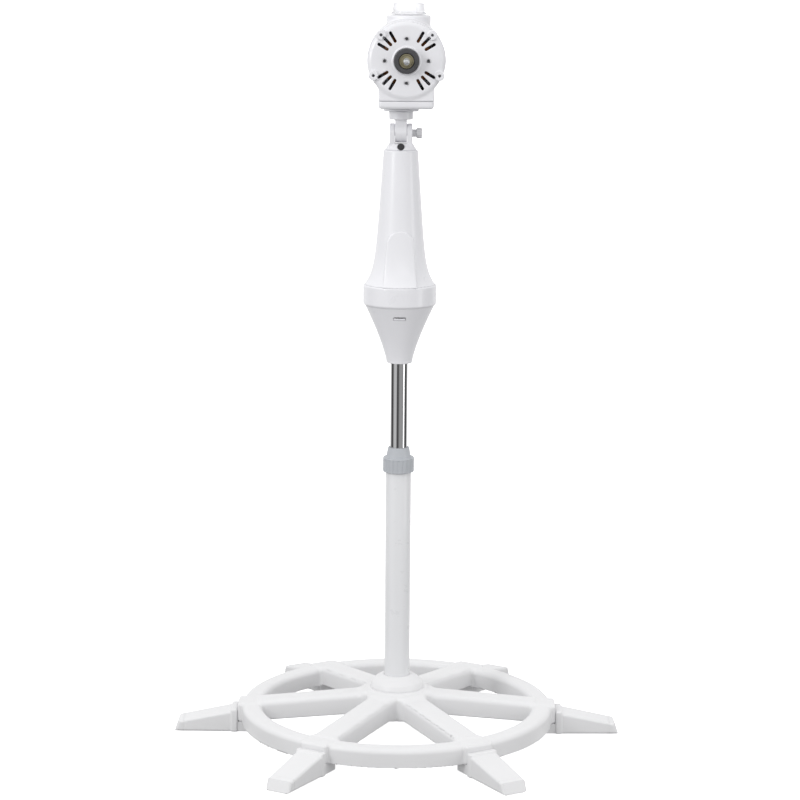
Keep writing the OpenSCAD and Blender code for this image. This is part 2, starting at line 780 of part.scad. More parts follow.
base_frame();
for (i = [1 : LEGS]) rotate((i - 1) * 360 / LEGS) leg();
foot_pads();
leg_screws();
pole_cover();
lower_tube();
tube_plug();
hub_bolt();
hub_washer();
collet_sleeve();
height_lock_nut();
mast_tube();
mast_bush();
mast_clamp_screw();
column_cup();
column_front();
column_rear();
control_fascia();
latch_tab();
column_screws();
circuit_board();
capacitor();
speed_switch();
cord_gland();
neck_fork();
neck_screw();
tilt_bolt();
tilt_washer();
speed_knob();
tilt_knob();
tilt_yoke();
link_plate();
pivot_shaft();
pivot_clip();
link_rivet();
oscillation_link();
front_cover();
guard_thread();
nose_bush();
cover_screws();
motor_housing();
swivel_block();
housing_screws();
stator_core();
windings();
front_bearing();
rear_bearing();
gearbox_case();
motor_shaft();
rotor_core();
worm();
worm_wheel();
crank_gear();
clutch_knob();
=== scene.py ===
import json
import math

import bmesh
import bpy
import numpy as np
from mathutils import Matrix, Vector


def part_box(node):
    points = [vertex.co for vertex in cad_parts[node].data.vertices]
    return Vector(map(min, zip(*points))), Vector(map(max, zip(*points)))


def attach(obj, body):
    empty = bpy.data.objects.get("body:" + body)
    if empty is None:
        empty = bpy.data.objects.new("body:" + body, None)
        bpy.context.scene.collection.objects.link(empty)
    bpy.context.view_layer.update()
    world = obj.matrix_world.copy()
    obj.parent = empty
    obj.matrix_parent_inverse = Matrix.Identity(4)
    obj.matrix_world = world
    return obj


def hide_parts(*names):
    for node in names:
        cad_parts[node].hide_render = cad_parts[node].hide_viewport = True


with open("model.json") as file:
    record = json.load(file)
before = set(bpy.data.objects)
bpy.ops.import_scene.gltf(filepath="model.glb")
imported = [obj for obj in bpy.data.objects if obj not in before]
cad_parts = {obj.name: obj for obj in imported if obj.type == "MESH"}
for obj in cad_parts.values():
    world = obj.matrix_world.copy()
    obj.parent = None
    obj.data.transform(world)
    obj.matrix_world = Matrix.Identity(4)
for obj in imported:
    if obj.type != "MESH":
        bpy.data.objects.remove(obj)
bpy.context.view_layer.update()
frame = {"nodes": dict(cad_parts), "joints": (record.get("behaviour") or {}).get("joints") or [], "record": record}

MM = 0.001

# ---------- sizes, taken from the CAD frame (millimetres) ----------


def span(node):
    """Lowest and highest corner of a CAD node, in millimetres."""
    low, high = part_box(node)
    return np.array(low) / MM, np.array(high) / MM


def joint_at(name):
    """The place of a joint, in millimetres."""
    return next(np.array(j["pos_m"]) / MM for j in frame["joints"] if j["name"] == name)


SLOT_OF = {s["node"]: s["material_slot"] for s in frame["record"]["subparts"]}
AXIS_X, _, AXIS_Z = joint_at("shaft_spin")
TILT_Z = joint_at("head_tilt")[2]
TUBE_R = span("lower_tube")[1][0]
MAST_R = span("mast_tube")[1][0]

# ---------- camera, floor and light ----------

CAMERA_AT = (-0.0034, -3.571, 1.1606)
CAMERA_DOWN = 10.385
CAMERA_ROLL = -0.43
CAMERA_LENS = 110.7
FLOOR_R, FLOOR_SIDES, FLOOR_GLOW = 95.0, 96, 0.7
ROOM_BACK, ROOM_TOP, ROOM_FLOOR = 1.02, 0.97, 0.42
BACK_FROM = 130
# where the room changes, by height of the view: 0 is straight down, 0.5 level and 1 straight up
CARDS_TOP, WALL_FOOT = 0.482, 0.492
FLOOR_EDGE, CARDS_FOOT = 0.27, 0.32
# cards low around the front of the room: angle from the camera's side, half width, grey
CARDS = ((-100, 12, 0.08), (-50, 14, 0.75), (-17, 8, 0.1), (42, 32, 0.45), (106, 10, 0.08))
# soft boxes: name, place, aim, size, watts
LIGHTS = (
    ("key", (-1.5, -1.3, 1.5), (0, 0, 0.85), (0.4, 1.2), 14),
    ("front", (0.5, -3.2, 2.0), (0, 0, 1.0), (1.6, 1.0), 6),
    ("fill", (1.7, -0.7, 0.5), (0, 0, 0.3), (0.4, 1.0), 4),
)


def make_camera():
    """The photograph's view: from the front, a little above the object, looking down."""
    data = bpy.data.cameras.new("camera")
    data.lens = CAMERA_LENS
    data.sensor_width = 36
    camera = bpy.data.objects.new("camera", data)
    camera.location = CAMERA_AT
    camera.rotation_euler = (math.radians(90 - CAMERA_DOWN), math.radians(CAMERA_ROLL), 0)
    bpy.context.scene.collection.objects.link(camera)
    bpy.context.scene.camera = camera


def area_light(name, place, aim, size, power):
    """A soft box at a place, facing its aim."""
    data = bpy.data.lights.new(name, "AREA")
    data.shape = "RECTANGLE"
    data.size, data.size_y = size
    data.energy = power
    light = bpy.data.objects.new(name, data)
    light.location = place
    light.rotation_euler = (Vector(aim) - Vector(place)).to_track_quat("-Z", "Y").to_euler()
    bpy.context.scene.collection.objects.link(light)


def make_stage():
    """A round pale floor."""
    mesh = bpy.data.meshes.new("stage")
    steps = [2 * math.pi * i / FLOOR_SIDES for i in range(FLOOR_SIDES)]
    rim = [(FLOOR_R * math.cos(a), FLOOR_R * math.sin(a), 0) for a in steps]
    mesh.from_pydata(rim, [], [tuple(range(FLOOR_SIDES))])
    stage = bpy.data.objects.new("stage", mesh)
    bpy.context.scene.collection.objects.link(stage)
    mesh.materials.append(floor_material())
    stage.visible_diffuse = False
    stage.visible_glossy = False


def world_math(tree, operation, *values):
    """A sum on sockets or numbers."""
    node = tree.nodes.new("ShaderNodeMath")
    node.operation = operation
    for socket, value in zip(node.inputs, values):
        if isinstance(value, (int, float)):
            socket.default_value = value
        else:
            tree.links.new(value, socket)
    return node.outputs["Value"]


def world_ramp(tree, source, stops):
    """A grey that follows the source through stops of (place, grey)."""
    node = tree.nodes.new("ShaderNodeValToRGB")
    ramp = node.color_ramp
    while len(ramp.elements) < len(stops):
        ramp.elements.new(0.5)
    for stop, (where, grey) in zip(ramp.elements, stops):
        stop.position = where
        stop.color = (grey, grey, grey, 1)
    tree.links.new(source, node.inputs["Fac"])
    return node.outputs["Color"]


def world_blend(tree, factor, colour, grey):
    """A colour that turns into a grey as the factor goes from 0 to 1."""
    node = tree.nodes.new("ShaderNodeMix")
    node.data_type = "RGBA"
    tree.links.new(factor, node.inputs["Factor"])
    tree.links.new(colour, node.inputs["A"])
    node.inputs["B"].default_value = (grey, grey, grey, 1)
    return node.outputs["Result"]


def room_stops():
    """Grey of the room's lower part by direction: bright behind, with grey and dark cards in front."""
    stops = [(-180, ROOM_BACK), (-BACK_FROM, ROOM_BACK)]
    for centre, half, grey in CARDS:
        stops += [(centre - half, grey), (centre + half, grey)]
    stops += [(BACK_FROM, ROOM_BACK), (180, ROOM_BACK)]
    return [(0.5 + angle / 360, grey) for angle, grey in stops]


def make_light():
    """A white studio: bright above and behind, cards low around the front, and three soft boxes."""
    scene = bpy.context.scene
    scene.view_settings.view_transform = "Standard"
    world = bpy.data.worlds.new("studio")
    world.use_nodes = True
    tree = world.node_tree
    place = tree.nodes.new("ShaderNodeTexCoord")
    split = tree.nodes.new("ShaderNodeSeparateXYZ")
    tree.links.new(place.outputs["Generated"], split.inputs["Vector"])
    x, y, z = (split.outputs[k] for k in "XYZ")
    from_front = world_math(tree, "ARCTAN2", x, world_math(tree, "MULTIPLY", y, -1.0))
    turn = world_math(tree, "MULTIPLY_ADD", from_front, 0.5 / math.pi, 0.5)
    around = world_ramp(tree, turn, room_stops())
    height = world_math(tree, "MULTIPLY_ADD", z, 0.5, 0.5)
    above = world_ramp(tree, height, [(CARDS_TOP, 0.0), (WALL_FOOT, 1.0)])
    below = world_ramp(tree, height, [(FLOOR_EDGE, 1.0), (CARDS_FOOT, 0.0)])
    colour = world_blend(tree, above, around, ROOM_TOP)
    colour = world_blend(tree, below, colour, ROOM_FLOOR)
    tree.links.new(colour, tree.nodes["Background"].inputs["Color"])
    scene.world = world
    for name, place, aim, size, power in LIGHTS:
        area_light(name, place, aim, size, power)


# ---------- materials ----------


class Nodes:
    """Short calls for building one procedural material."""

    def __init__(self, name):
        self.material = bpy.data.materials.new(name)
        self.material.use_nodes = True
        self.tree = self.material.node_tree
        self.shader = self.tree.nodes["Principled BSDF"]
        self.place = self.add("ShaderNodeTexCoord").outputs["Object"]

    def add(self, kind, **values):
        """A new node with its settings."""
        node = self.tree.nodes.new(kind)
        for key, value in values.items():
            setattr(node, key, value)
        return node

    def link(self, a, b):
        self.tree.links.new(a, b)

    def set(self, name, value):
        self.shader.inputs[name].default_value = value

    def noise(self, scale, detail=3.0, rough=0.5, stretch=(1, 1, 1)):
        """Noise in the object's own space, finer along an axis with a larger stretch."""
        mapping = self.add("ShaderNodeMapping")
        mapping.inputs["Scale"].default_value = stretch
        self.link(self.place, mapping.inputs["Vector"])
        node = self.add("ShaderNodeTexNoise")
        node.inputs["Scale"].default_value = scale
        node.inputs["Detail"].default_value = detail
        node.inputs["Roughness"].default_value = rough
        self.link(mapping.outputs["Vector"], node.inputs["Vector"])
        return node.outputs["Fac"]

    def ramp(self, source, low, high, a=0.35, b=0.65):
        """A colour that runs from low to high as the source goes from a to b."""
        node = self.add("ShaderNodeValToRGB")
        for stop, where, colour in zip(node.color_ramp.elements, (a, b), (low, high)):
            stop.position = where
            stop.color = (*colour, 1)
        self.link(source, node.inputs["Fac"])
        return node.outputs["Color"]

    def spread(self, source, low, high, a=0.0, b=1.0):
        """A number that runs from low to high as the source goes from a to b."""
        node = self.add("ShaderNodeMapRange")
        for key, value in zip(("From Min", "From Max", "To Min", "To Max"), (a, b, low, high)):
            node.inputs[key].default_value = value
        self.link(source, node.inputs["Value"])
        return node.outputs["Result"]

    def mix(self, factor, a, colour):
        """The socket a where the factor is 0, and a fixed colour where it is 1."""
        node = self.add("ShaderNodeMix", data_type="RGBA")
        self.link(factor, node.inputs["Factor"])
        self.link(a, node.inputs["A"])
        node.inputs["B"].default_value = (*colour, 1)
        return node.outputs["Result"]

    def bump(self, source, distance, strength, under=None):
        """Small relief from a source, on top of another relief if one is given."""
        node = self.add("ShaderNodeBump")
        node.inputs["Distance"].default_value = distance
        node.inputs["Strength"].default_value = strength
        self.link(source, node.inputs["Height"])
        if under is not None:
            self.link(under, node.inputs["Normal"])
        return node.outputs["Normal"]


def floor_material():
    """Pale, faintly clouded floor that glows enough to stay even."""
    m = Nodes("stage_white")
    m.link(m.ramp(m.noise(0.6), (0.95, 0.95, 0.95), (0.96, 0.96, 0.96)), m.shader.inputs["Base Color"])
    m.set("Roughness", 0.9)
    m.set("Emission Color", (1, 1, 1, 1))
    m.set("Emission Strength", FLOOR_GLOW)
    return m.material


def moulded(name, colour, roughness=0.32, coat=0.25, tint=0.02, grain=0.00003, wear=0.025):
    """Moulded plastic: cloudy colour, fine orange-peel, faint scuffs and lighter convex edges."""
    m = Nodes(name)
    dull = tuple(c * (1 - tint) for c in colour)
    base = m.ramp(m.noise(7.0, 4.0), dull, colour)
    scuffs = m.spread(m.noise(90.0, 6.0, 0.7, (1, 1, 0.15)), 0.0, wear, 0.62, 0.8)
    base = m.mix(scuffs, base, tuple(c * 0.8 for c in colour))
    edge = m.spread(m.add("ShaderNodeNewGeometry").outputs["Pointiness"], 0.0, 0.35, 0.52, 0.6)
    base = m.mix(edge, base, tuple(min(1.0, c * 1.06) for c in colour))
    m.link(base, m.shader.inputs["Base Color"])
    m.link(m.spread(m.noise(45.0, 5.0, 0.6), roughness - 0.05, roughness + 0.09, 0.3, 0.7),
           m.shader.inputs["Roughness"])
    peel = m.bump(m.noise(420.0, 2.0), grain, 0.5)
    m.link(m.bump(m.noise(30.0, 2.0), grain * 4, 0.35, peel), m.shader.inputs["Normal"])
    m.set("Coat Weight", coat)
    m.set("Coat Roughness", 0.12)
    m.set("IOR", 1.5)
    return m.material


def milky(name, colour):
    """Translucent white plastic."""
    m = Nodes(name)
    dull = tuple(c * 0.97 for c in colour)
    m.link(m.ramp(m.noise(20.0, 4.0), dull, colour), m.shader.inputs["Base Color"])
    m.link(m.spread(m.noise(60.0, 4.0), 0.35, 0.5, 0.3, 0.7), m.shader.inputs["Roughness"])
    m.link(m.bump(m.noise(300.0, 2.0), 0.00003, 0.5), m.shader.inputs["Normal"])
    m.set("Transmission Weight", 0.55)
    m.set("IOR", 1.2)
    return m.material


def metal(name, colour, roughness, stretch=(1, 1, 1), scale=200.0, streak=0.12, wear=0.1):
    """Metal with streaks along the stretched direction and dull spots: turning or drawing marks on most metals,
    and on the chrome painted reflections of the studio.
    """
    m = Nodes(name)
    # darker streaks: turning or drawing marks, and on the chrome painted reflections of the studio
    dark = tuple(c * (1 - streak) for c in colour)
    base = m.ramp(m.noise(scale, 4.0, 0.6, stretch), dark, colour)
    spots = m.spread(m.noise(60.0, 5.0, 0.7), 0.0, wear, 0.6, 0.75)
    m.link(m.mix(spots, base, tuple(c * 0.55 for c in colour)), m.shader.inputs["Base Color"])
    m.set("Metallic", 1.0)
    m.link(m.spread(m.noise(scale, 4.0, 0.6, stretch), roughness * 0.7, roughness * 1.4, 0.3, 0.7),
           m.shader.inputs["Roughness"])
    m.link(m.bump(m.noise(scale * 2, 3.0, 0.5, stretch), 0.00002, 0.4), m.shader.inputs["Normal"])
    return m.material


def rubber(name, colour):
    """Dull rubber with a grainy skin."""
    m = Nodes(name)
    dusty = tuple(c * 1.8 for c in colour)
    m.link(m.ramp(m.noise(25.0, 5.0), colour, dusty), m.shader.inputs["Base Color"])
    m.link(m.spread(m.noise(80.0), 0.65, 0.9, 0.3, 0.7), m.shader.inputs["Roughness"])
    m.link(m.bump(m.noise(700.0, 3.0), 0.0001, 0.6), m.shader.inputs["Normal"])
    return m.material


def wound_copper(name):
    """Enamelled wire wound around the ring: fine bands across the radius."""
    m = Nodes(name)
    wave = m.add("ShaderNodeTexWave", wave_type="RINGS", rings_direction="Y")
    wave.inputs["Scale"].default_value = 190.0
    wave.inputs["Distortion"].default_value = 1.5
    m.link(m.place, wave.inputs["Vector"])
    m.link(m.ramp(wave.outputs["Fac"], (0.22, 0.07, 0.02), (0.6, 0.26, 0.1), 0.1, 0.8),
           m.shader.inputs["Base Color"])
    m.link(m.bump(wave.outputs["Fac"], 0.0003, 0.8), m.shader.inputs["Normal"])
    m.set("Metallic", 0.6)
    m.link(m.spread(m.noise(60.0), 0.25, 0.5), m.shader.inputs["Roughness"])
    return m.material


MATERIALS = {}


def make_materials():
    """Every material by name; a CAD node that stays visible takes the one named after its slot."""
    MATERIALS.update({
        "white_plastic": moulded("white_plastic", (0.80, 0.80, 0.83)),
        "milky_plastic": milky("milky_plastic", (0.95, 0.95, 0.97)),
        "base_plastic": moulded("base_plastic", (0.755, 0.755, 0.765), 0.42, 0.1),
        "white_paint": moulded("white_paint", (0.77, 0.775, 0.79), 0.3, 0.3, 0.012, 0.00002),
        "grey_plastic": moulded("grey_plastic", (0.47, 0.49, 0.52), 0.42, 0.05, 0.06),
        "knob_plastic": moulded("knob_plastic", (0.62, 0.62, 0.64), 0.4, 0.1, 0.05),
        "dark_plastic": moulded("dark_plastic", (0.055, 0.055, 0.06), 0.45, 0.05, 0.25),
        "cream_plastic": moulded("cream_plastic", (0.68, 0.66, 0.58), 0.5, 0.0, 0.05),
        "board": moulded("board", (0.05, 0.2, 0.09), 0.4, 0.3, 0.2),
        "nylon": moulded("nylon", (0.72, 0.7, 0.6), 0.5, 0.0, 0.05),
        "rubber": rubber("rubber", (0.02, 0.02, 0.02)),
        "steel": metal("steel", (0.62, 0.63, 0.65), 0.28),
        "black_steel": metal("black_steel", (0.1, 0.1, 0.105), 0.4),
        "core_steel": metal("core_steel", (0.3, 0.31, 0.33), 0.45, (1, 14, 1), 120.0, 0.4),
        # chrome: the vertical streaks in its colour and roughness are painted reflections of the studio
        "chrome": metal("chrome", (0.62, 0.62, 0.63), 0.07, (1, 1, 0.02), 160.0, 0.05, 0.05),
        "copper": wound_copper("copper"),
        "bronze": metal("bronze", (0.4, 0.36, 0.24), 0.42, (1, 1, 1), 150.0, 0.3),
    })


# ---------- meshes from distance functions ----------
# Every function takes points as an (n, 3) array in millimetres and gives distances in millimetres.


def length(*parts):
    """Length of a vector from its parts."""
    return np.sqrt(sum(p * p for p in parts))


def join(a, b, k=0.0):
    """Union, with a fillet of about k."""
    if k <= 0:
        return np.minimum(a, b)
    h = np.clip(0.5 + 0.5 * (b - a) / k, 0, 1)
    return b + (a - b) * h - k * h * (1 - h)


def cut(a, b, k=0.0):
    """a without b, with an edge rounded by about k."""
    return -join(-a, b, k)


def both(a, b, k=0.0):
    """The part common to a and b, with an edge rounded by about k."""
    return -join(-a, -b, k)


def edged(side, end, r):
    """A body bounded by a side distance and an end distance, with edges of radius r."""
    a, b = side + r, end + r
    return np.minimum(np.maximum(a, b), 0) + length(np.maximum(a, 0), np.maximum(b, 0)) - r


def box(p, low, high, r=0.0):
    """A block between two corners, with edges of radius r."""
    low, high = np.array(low, float), np.array(high, float)
    q = np.abs(p - (low + high) / 2) - (high - low) / 2 + r
    return length(*np.maximum(q, 0).T) + np.minimum(q.max(1), 0) - r


def rod(p, axis, centre, radius, low, high, r=0.0):
    """A round bar along an axis; centre holds the other two coordinates in axis order."""
    others = [i for i in range(3) if i != axis]
    radial = length(p[:, others[0]] - centre[0], p[:, others[1]] - centre[1]) - radius
    return edged(radial, np.maximum(low - p[:, axis], p[:, axis] - high), r)


def polygon(x, y, points):
    """Signed distance to a closed outline."""
    pts = np.array(points, float)
    best = np.full(len(x), 1e12)
    sign = np.ones(len(x))
    for (ax, ay), (bx, by) in zip(pts, np.roll(pts, -1, axis=0)):
        ex, ey = bx - ax, by - ay
        wx, wy = x - ax, y - ay
        t = np.clip((wx * ex + wy * ey) / (ex * ex + ey * ey), 0, 1)
        best = np.minimum(best, (wx - ex * t) ** 2 + (wy - ey * t) ** 2)
        above, below = y >= ay, y < by
        left = ex * wy > ey * wx
        flip = (above & below & left) | (~above & ~below & ~left)
        sign[flip] *= -1
    return sign * np.sqrt(best)


def turned(p, points, centre=(0.0, 0.0)):
    """A body of revolution about a vertical axis, from an outline of (radius, height)."""
    return polygon(length(p[:, 0] - centre[0], p[:, 1] - centre[1]), p[:, 2], points)


def fold(p, count):
    """Turns every point into the first of count equal sectors around the vertical axis."""
    angle, radius = np.arctan2(p[:, 1], p[:, 0]), length(p[:, 0], p[:, 1])
    step = 2 * math.pi / count
    angle = angle - step * np.round(angle / step)
    return np.column_stack((radius * np.cos(angle), radius * np.sin(angle), p[:, 2]))


def slope(f, p, h=0.02):
    """Gradient of f at each point, from steps of h millimetres."""
    grad = np.empty_like(p)
    for i in range(3):
        step = np.zeros(3)
        step[i] = h
        grad[:, i] = (f(p + step) - f(p - step)) / (2 * h)
    return grad


CORNERS = np.array([(i, j, k) for i in (0, 1) for j in (0, 1) for k in (0, 1)])
PULLS = 4                 # times the vertices are pulled onto the surface
WELD = 0.000001           # metres between points that become one
SHARP = math.radians(40)  # edges steeper than this stay sharp


def surface_points(values, low, cell):
    """One vertex in each grid cell that the surface crosses, at the mean of its edge crossings."""
    inside = values < 0
    shape = tuple(n - 1 for n in values.shape)
    crossed = np.zeros(shape, np.int8)
    for i, j, k in CORNERS:
        crossed += inside[i:i + shape[0], j:j + shape[1], k:k + shape[2]]
    cells = np.argwhere((crossed > 0) & (crossed < 8))
    total, count = np.zeros((len(cells), 3)), np.zeros(len(cells))
    for a in CORNERS:
        for axis in range(3):
            if a[axis]:
                continue
            b = a.copy()
            b[axis] = 1
            va = values[tuple((cells + a).T)]
            vb = values[tuple((cells + b).T)]
            hit = (va < 0) != (vb < 0)
            t = va[hit] / (va[hit] - vb[hit])
            total[hit] += a + np.outer(t, b - a)
            count[hit] += 1
    index = np.full(shape, -1, np.int64)
    index[tuple(cells.T)] = np.arange(len(cells))
    return low + (cells + total / count[:, None]) * cell, index, inside


def surface_faces(index, inside):
    """One quad around each grid edge that crosses the surface."""
    quads = []
    for axis in range(3):
        u, v = (axis + 1) % 3, (axis + 2) % 3
        here = [slice(1, n - 1) for n in inside.shape]
        here[axis] = slice(0, inside.shape[axis] - 1)
        there = list(here)
        there[axis] = slice(1, inside.shape[axis])
        a, b = inside[tuple(here)], inside[tuple(there)]
        edges = np.argwhere(a != b)
        starts = a[a != b]
        edges = edges + [s.start for s in here]
        around = []
        for du, dv in ((1, 1), (0, 1), (0, 0), (1, 0)):
            shifted = edges.copy()
            shifted[:, u] -= du
            shifted[:, v] -= dv
            around.append(index[tuple(shifted.T)])
        quad = np.column_stack(around)
        quad[~starts] = quad[~starts][:, ::-1]
        quads.append(quad)
    return np.vstack(quads)


def sculpt(name, f, low, high, cell):
    """A mesh object of the surface f = 0 inside a box, with vertices pulled onto the surface."""
    low, high = np.array(low, float) - 2 * cell, np.array(high, float) + 2 * cell
    counts = np.ceil((high - low) / cell).astype(int) + 1
    axes = [low[i] + np.arange(counts[i]) * cell for i in range(3)]
    values = np.empty(counts)
    for i, x in enumerate(axes[0]):
        y, z = np.meshgrid(axes[1], axes[2], indexing="ij")
        p = np.column_stack((np.full(y.size, x), y.ravel(), z.ravel()))
        values[i] = f(p).reshape(y.shape)
    points, index, inside = surface_points(values, low, cell)
    faces = surface_faces(index, inside)
    reach = cell * 0.6
    for _ in range(PULLS):
        grad = slope(f, points)
        step = (f(points) / np.maximum((grad * grad).sum(1), 0.25))[:, None] * grad
        points = points - np.clip(step, -reach, reach)
    return mesh_object(name, points, faces, slope(f, points))


def mesh_object(name, points, faces, normals=None):
    """A smooth object from points in millimetres."""
    mesh = bpy.data.meshes.new(name)
    mesh.from_pydata((points * MM).tolist(), [], np.asarray(faces).tolist())
    mesh.polygons.foreach_set("use_smooth", [True] * len(mesh.polygons))
    if normals is not None:
        unit = normals / np.maximum(length(*normals.T), 1e-9)[:, None]
        mesh.normals_split_custom_set_from_vertices(unit.tolist())
    obj = bpy.data.objects.new(name, mesh)
    bpy.context.scene.collection.objects.link(obj)
    return obj


def finish_piece(obj, material, body, nodes):
    """Gives a piece its material and body, and hides the CAD nodes it stands for."""
    obj.data.materials.clear()
    obj.data.materials.append(MATERIALS[material])
    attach(obj, body)
    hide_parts(*nodes)


def show(name, node, f, material, body, cell):
    """Sculpts a piece inside its CAD node's box and lets it stand for that node."""
    low, high = span(node)
    finish_piece(sculpt(name, f, low, high, cell), material, body, [node])


# ---------- turned pieces ----------


def rounded_outline(points, steps=5):
    """Replaces each corner (r, z, fillet) of an outline by an arc."""
    result = []
    n = len(points)
    for i, (x, y, fillet) in enumerate(points):
        here = np.array((x, y), float)
        before, after = np.array(points[i - 1][:2], float), np.array(points[(i + 1) % n][:2], float)
        if fillet <= 0:
            result.append(tuple(here))
            continue
        a, b = before - here, after - here
        la, lb = np.linalg.norm(a), np.linalg.norm(b)
        a, b = a / la, b / lb
        half = math.acos(np.clip(a @ b, -0.9999, 0.9999)) / 2
        reach = min(fillet / math.tan(half), la * 0.49, lb * 0.49)
        radius = reach * math.tan(half)
        middle = here + (a + b) / np.linalg.norm(a + b) * (radius / math.sin(half))
        start, end = here + a * reach - middle, here + b * reach - middle
        a0, a1 = math.atan2(start[1], start[0]), math.atan2(end[1], end[0])
        turn = (a1 - a0 + math.pi) % (2 * math.pi) - math.pi
        for a in a0 + turn * np.linspace(0, 1, steps + 1):
            result.append((middle[0] + radius * math.cos(a), middle[1] + radius * math.sin(a)))
    return result


def place_points(flat, axis, centre):
    """Moves lathe points, made about Z, onto an axis "z" or "-y" through centre."""
    x, y, z = flat.T
    moved = (x, y, z) if axis == "z" else (x, -z, y)
    return np.column_stack(moved) + np.array(centre, float)


def lathe(name, outline, axis="z", centre=(0, 0, 0), segments=128):
    """A closed body of revolution from an outline of (r, z, fillet) points, listed anticlockwise
    when r runs right and z up."""
    ring = rounded_outline(outline)
    n = len(ring)
    angles = np.arange(segments) * 2 * math.pi / segments
    points = []
    for a in angles:
        for r, z in ring:
            points.append((r * math.cos(a), r * math.sin(a), z))
    faces = []
    for s in range(segments):
        t = (s + 1) % segments
        for i in range(n):
            j = (i + 1) % n
            faces.append((s * n + i, t * n + i, t * n + j, s * n + j))
    moved = place_points(np.array(points), axis, centre)
    obj = mesh_object(name, moved, faces)
    clean(obj)
    return obj


def clean(obj):
    """Welds doubled points and sharpens hard corners."""
    mesh = bmesh.new()
    mesh.from_mesh(obj.data)
    bmesh.ops.remove_doubles(mesh, verts=mesh.verts, dist=WELD)
    bmesh.ops.recalc_face_normals(mesh, faces=mesh.faces)
    for edge in mesh.edges:
        if len(edge.link_faces) == 2 and edge.calc_face_angle(0) > SHARP:
            edge.smooth = False
    mesh.to_mesh(obj.data)
    mesh.free()


# ---------- base ----------

RING_IN, RING_OUT = 203.0, 233.0
RING_Z, RING_TOP = 16.7, 44.7
HUB_R, HUB_Z, HUB_TOP, PAD_R, PAD_TOP = 50.0, 31.0, 62.3, 43.0, 68.0
SPOKE_HALF, SPOKE_END = 20.5, 47.5
SOCKET_R, SOCKET_HALF = 239.0, 22.0
SHELL = 3.5
SCREW_AT = 221.0
HUB_BOLT_R = 4.3
TUBE_FOOT = span("lower_tube")[0][2]
LEG_LOW, LEG_HIGH = span("leg_1")
LEG_TIP = LEG_HIGH[0]
LIP_R, LIP_TOP = 249.0, LEG_HIGH[2]
LEG_FOOT, LEG_TOE, LEG_HEEL = 1.0, 17.0, 33.0   # heights of a leg's underside, tip and root
HOLLOW_END = 298.0
FOOT_LOW, FOOT_HIGH = (302, -14, -1), (326, 14, 3)


def spoke_body(p, inset):
    """One tapering spoke along +X; with an inset, the hollow under it."""
    x, y, z = p.T
    t = np.clip((x - HUB_R) / (RING_IN + 5 - HUB_R), 0, 1)
    crest = HUB_TOP - 0.3
    top = z - (crest - (crest - SPOKE_END) * t) + inset
    under = HUB_Z - (HUB_Z - RING_Z - 2) * t - z
    if inset:
        under = under - 30
        start, end, k = HUB_R + 8, RING_IN + 10, 2.0
    else:
        start, end, k = -5.0, RING_IN + 6, 9.0
    body = both(np.abs(y) - SPOKE_HALF + inset, top, k)
    body = both(body, under, 1.5)
    return both(body, np.maximum(x - end, start - x), 2.0)


def base_body(p):
    """The ring, six spokes, the hub and six leg sockets as one soft moulding, hollow underneath."""
    q = fold(p, 6)
    x, y, z = q.T
    radial = length(x, y)
    middle, half = (RING_IN + RING_OUT) / 2, (RING_OUT - RING_IN) / 2
    side = np.abs(radial - middle) - half
    ring = np.maximum(edged(side, z - RING_TOP, 8.0), RING_Z - z)
    body = join(ring, spoke_body(q, 0.0), 6.0)
    socket = box(q, (RING_IN - 3, -SOCKET_HALF, RING_Z), (SOCKET_R, SOCKET_HALF, RING_TOP + 0.3), 4.0)
    body = join(body, socket, 3.0)
    body = join(body, edged(radial - HUB_R, np.maximum(HUB_Z - z, z - HUB_TOP), 3.0), 14.0)
    body = join(body, edged(radial - PAD_R, np.maximum(HUB_TOP - 4 - z, z - PAD_TOP), 2.5), 5.0)
    body = cut(body, edged(side + SHELL, z - RING_TOP + SHELL, 5.5), 0.8)
    body = cut(body, spoke_body(q, SHELL), 0.8)
    body = cut(body, box(q, (RING_IN + 1, -SOCKET_HALF + SHELL, 0),
                         (SOCKET_R - SHELL, SOCKET_HALF - SHELL, RING_TOP - SHELL - 1), 2.0), 0.8)
    from_screw = length(x - SCREW_AT, y)
    body = join(body, edged(from_screw - 5, np.maximum(RING_Z - z, z - RING_TOP + 2), 0.5), 1.5)
    body = cut(body, np.maximum(from_screw - 1.9, z - 38), 0.3)
    body = cut(body, np.maximum(radial - TUBE_R - 0.1, TUBE_FOOT - z), 0.4)
    return cut(body, radial - HUB_BOLT_R, 0.3)


def leg_body(p):
    """A leg along +X: tongue, lip against the socket, tapering body and a cap line near the tip."""
    x, y, z = p.T
    root = SOCKET_R + 0.3
    side = [(root, LEG_FOOT), (LEG_TIP, LEG_FOOT), (LEG_TIP - 6, LEG_TOE), (LIP_R, LEG_HEEL),
            (root, LEG_HEEL)]
    half = SOCKET_HALF - 2 * np.clip((x - SOCKET_R) / (LEG_TIP - SOCKET_R), 0, 1)
    body = edged(np.abs(y) - half, polygon(x, z, side), 4.0)
    body = join(body, box(p, (root, -23, LEG_FOOT), (LIP_R, 23, LIP_TOP), 2.5), 2.0)
    tongue = box(p, (LEG_LOW[0], -20, LEG_FOOT), (SOCKET_R + 1, 20, RING_Z - 0.3), 1.0)
    body = join(body, tongue)
    cap_line = np.maximum(np.abs(x - (LEG_TIP - 14)) - 0.7, 2.0 - z)
    body = cut(body, np.maximum(cap_line, -(body + 0.7)), 0.5)
    hollow = [(LIP_R - 6, -1), (HOLLOW_END, -1), (HOLLOW_END, 19), (LIP_R + 1, 29), (LIP_R - 6, 29)]
    body = cut(body, edged(np.abs(y) - 17, polygon(x, z, hollow), 1.0), 0.6)
    body = cut(body, box(p, FOOT_LOW, FOOT_HIGH, 0.3), 0.4)
    from_screw = length(x - SCREW_AT, y)
    body = cut(body, from_screw - 2.2, 0.3)
    return cut(body, np.maximum(from_screw - 4.6, z - 7), 0.3)


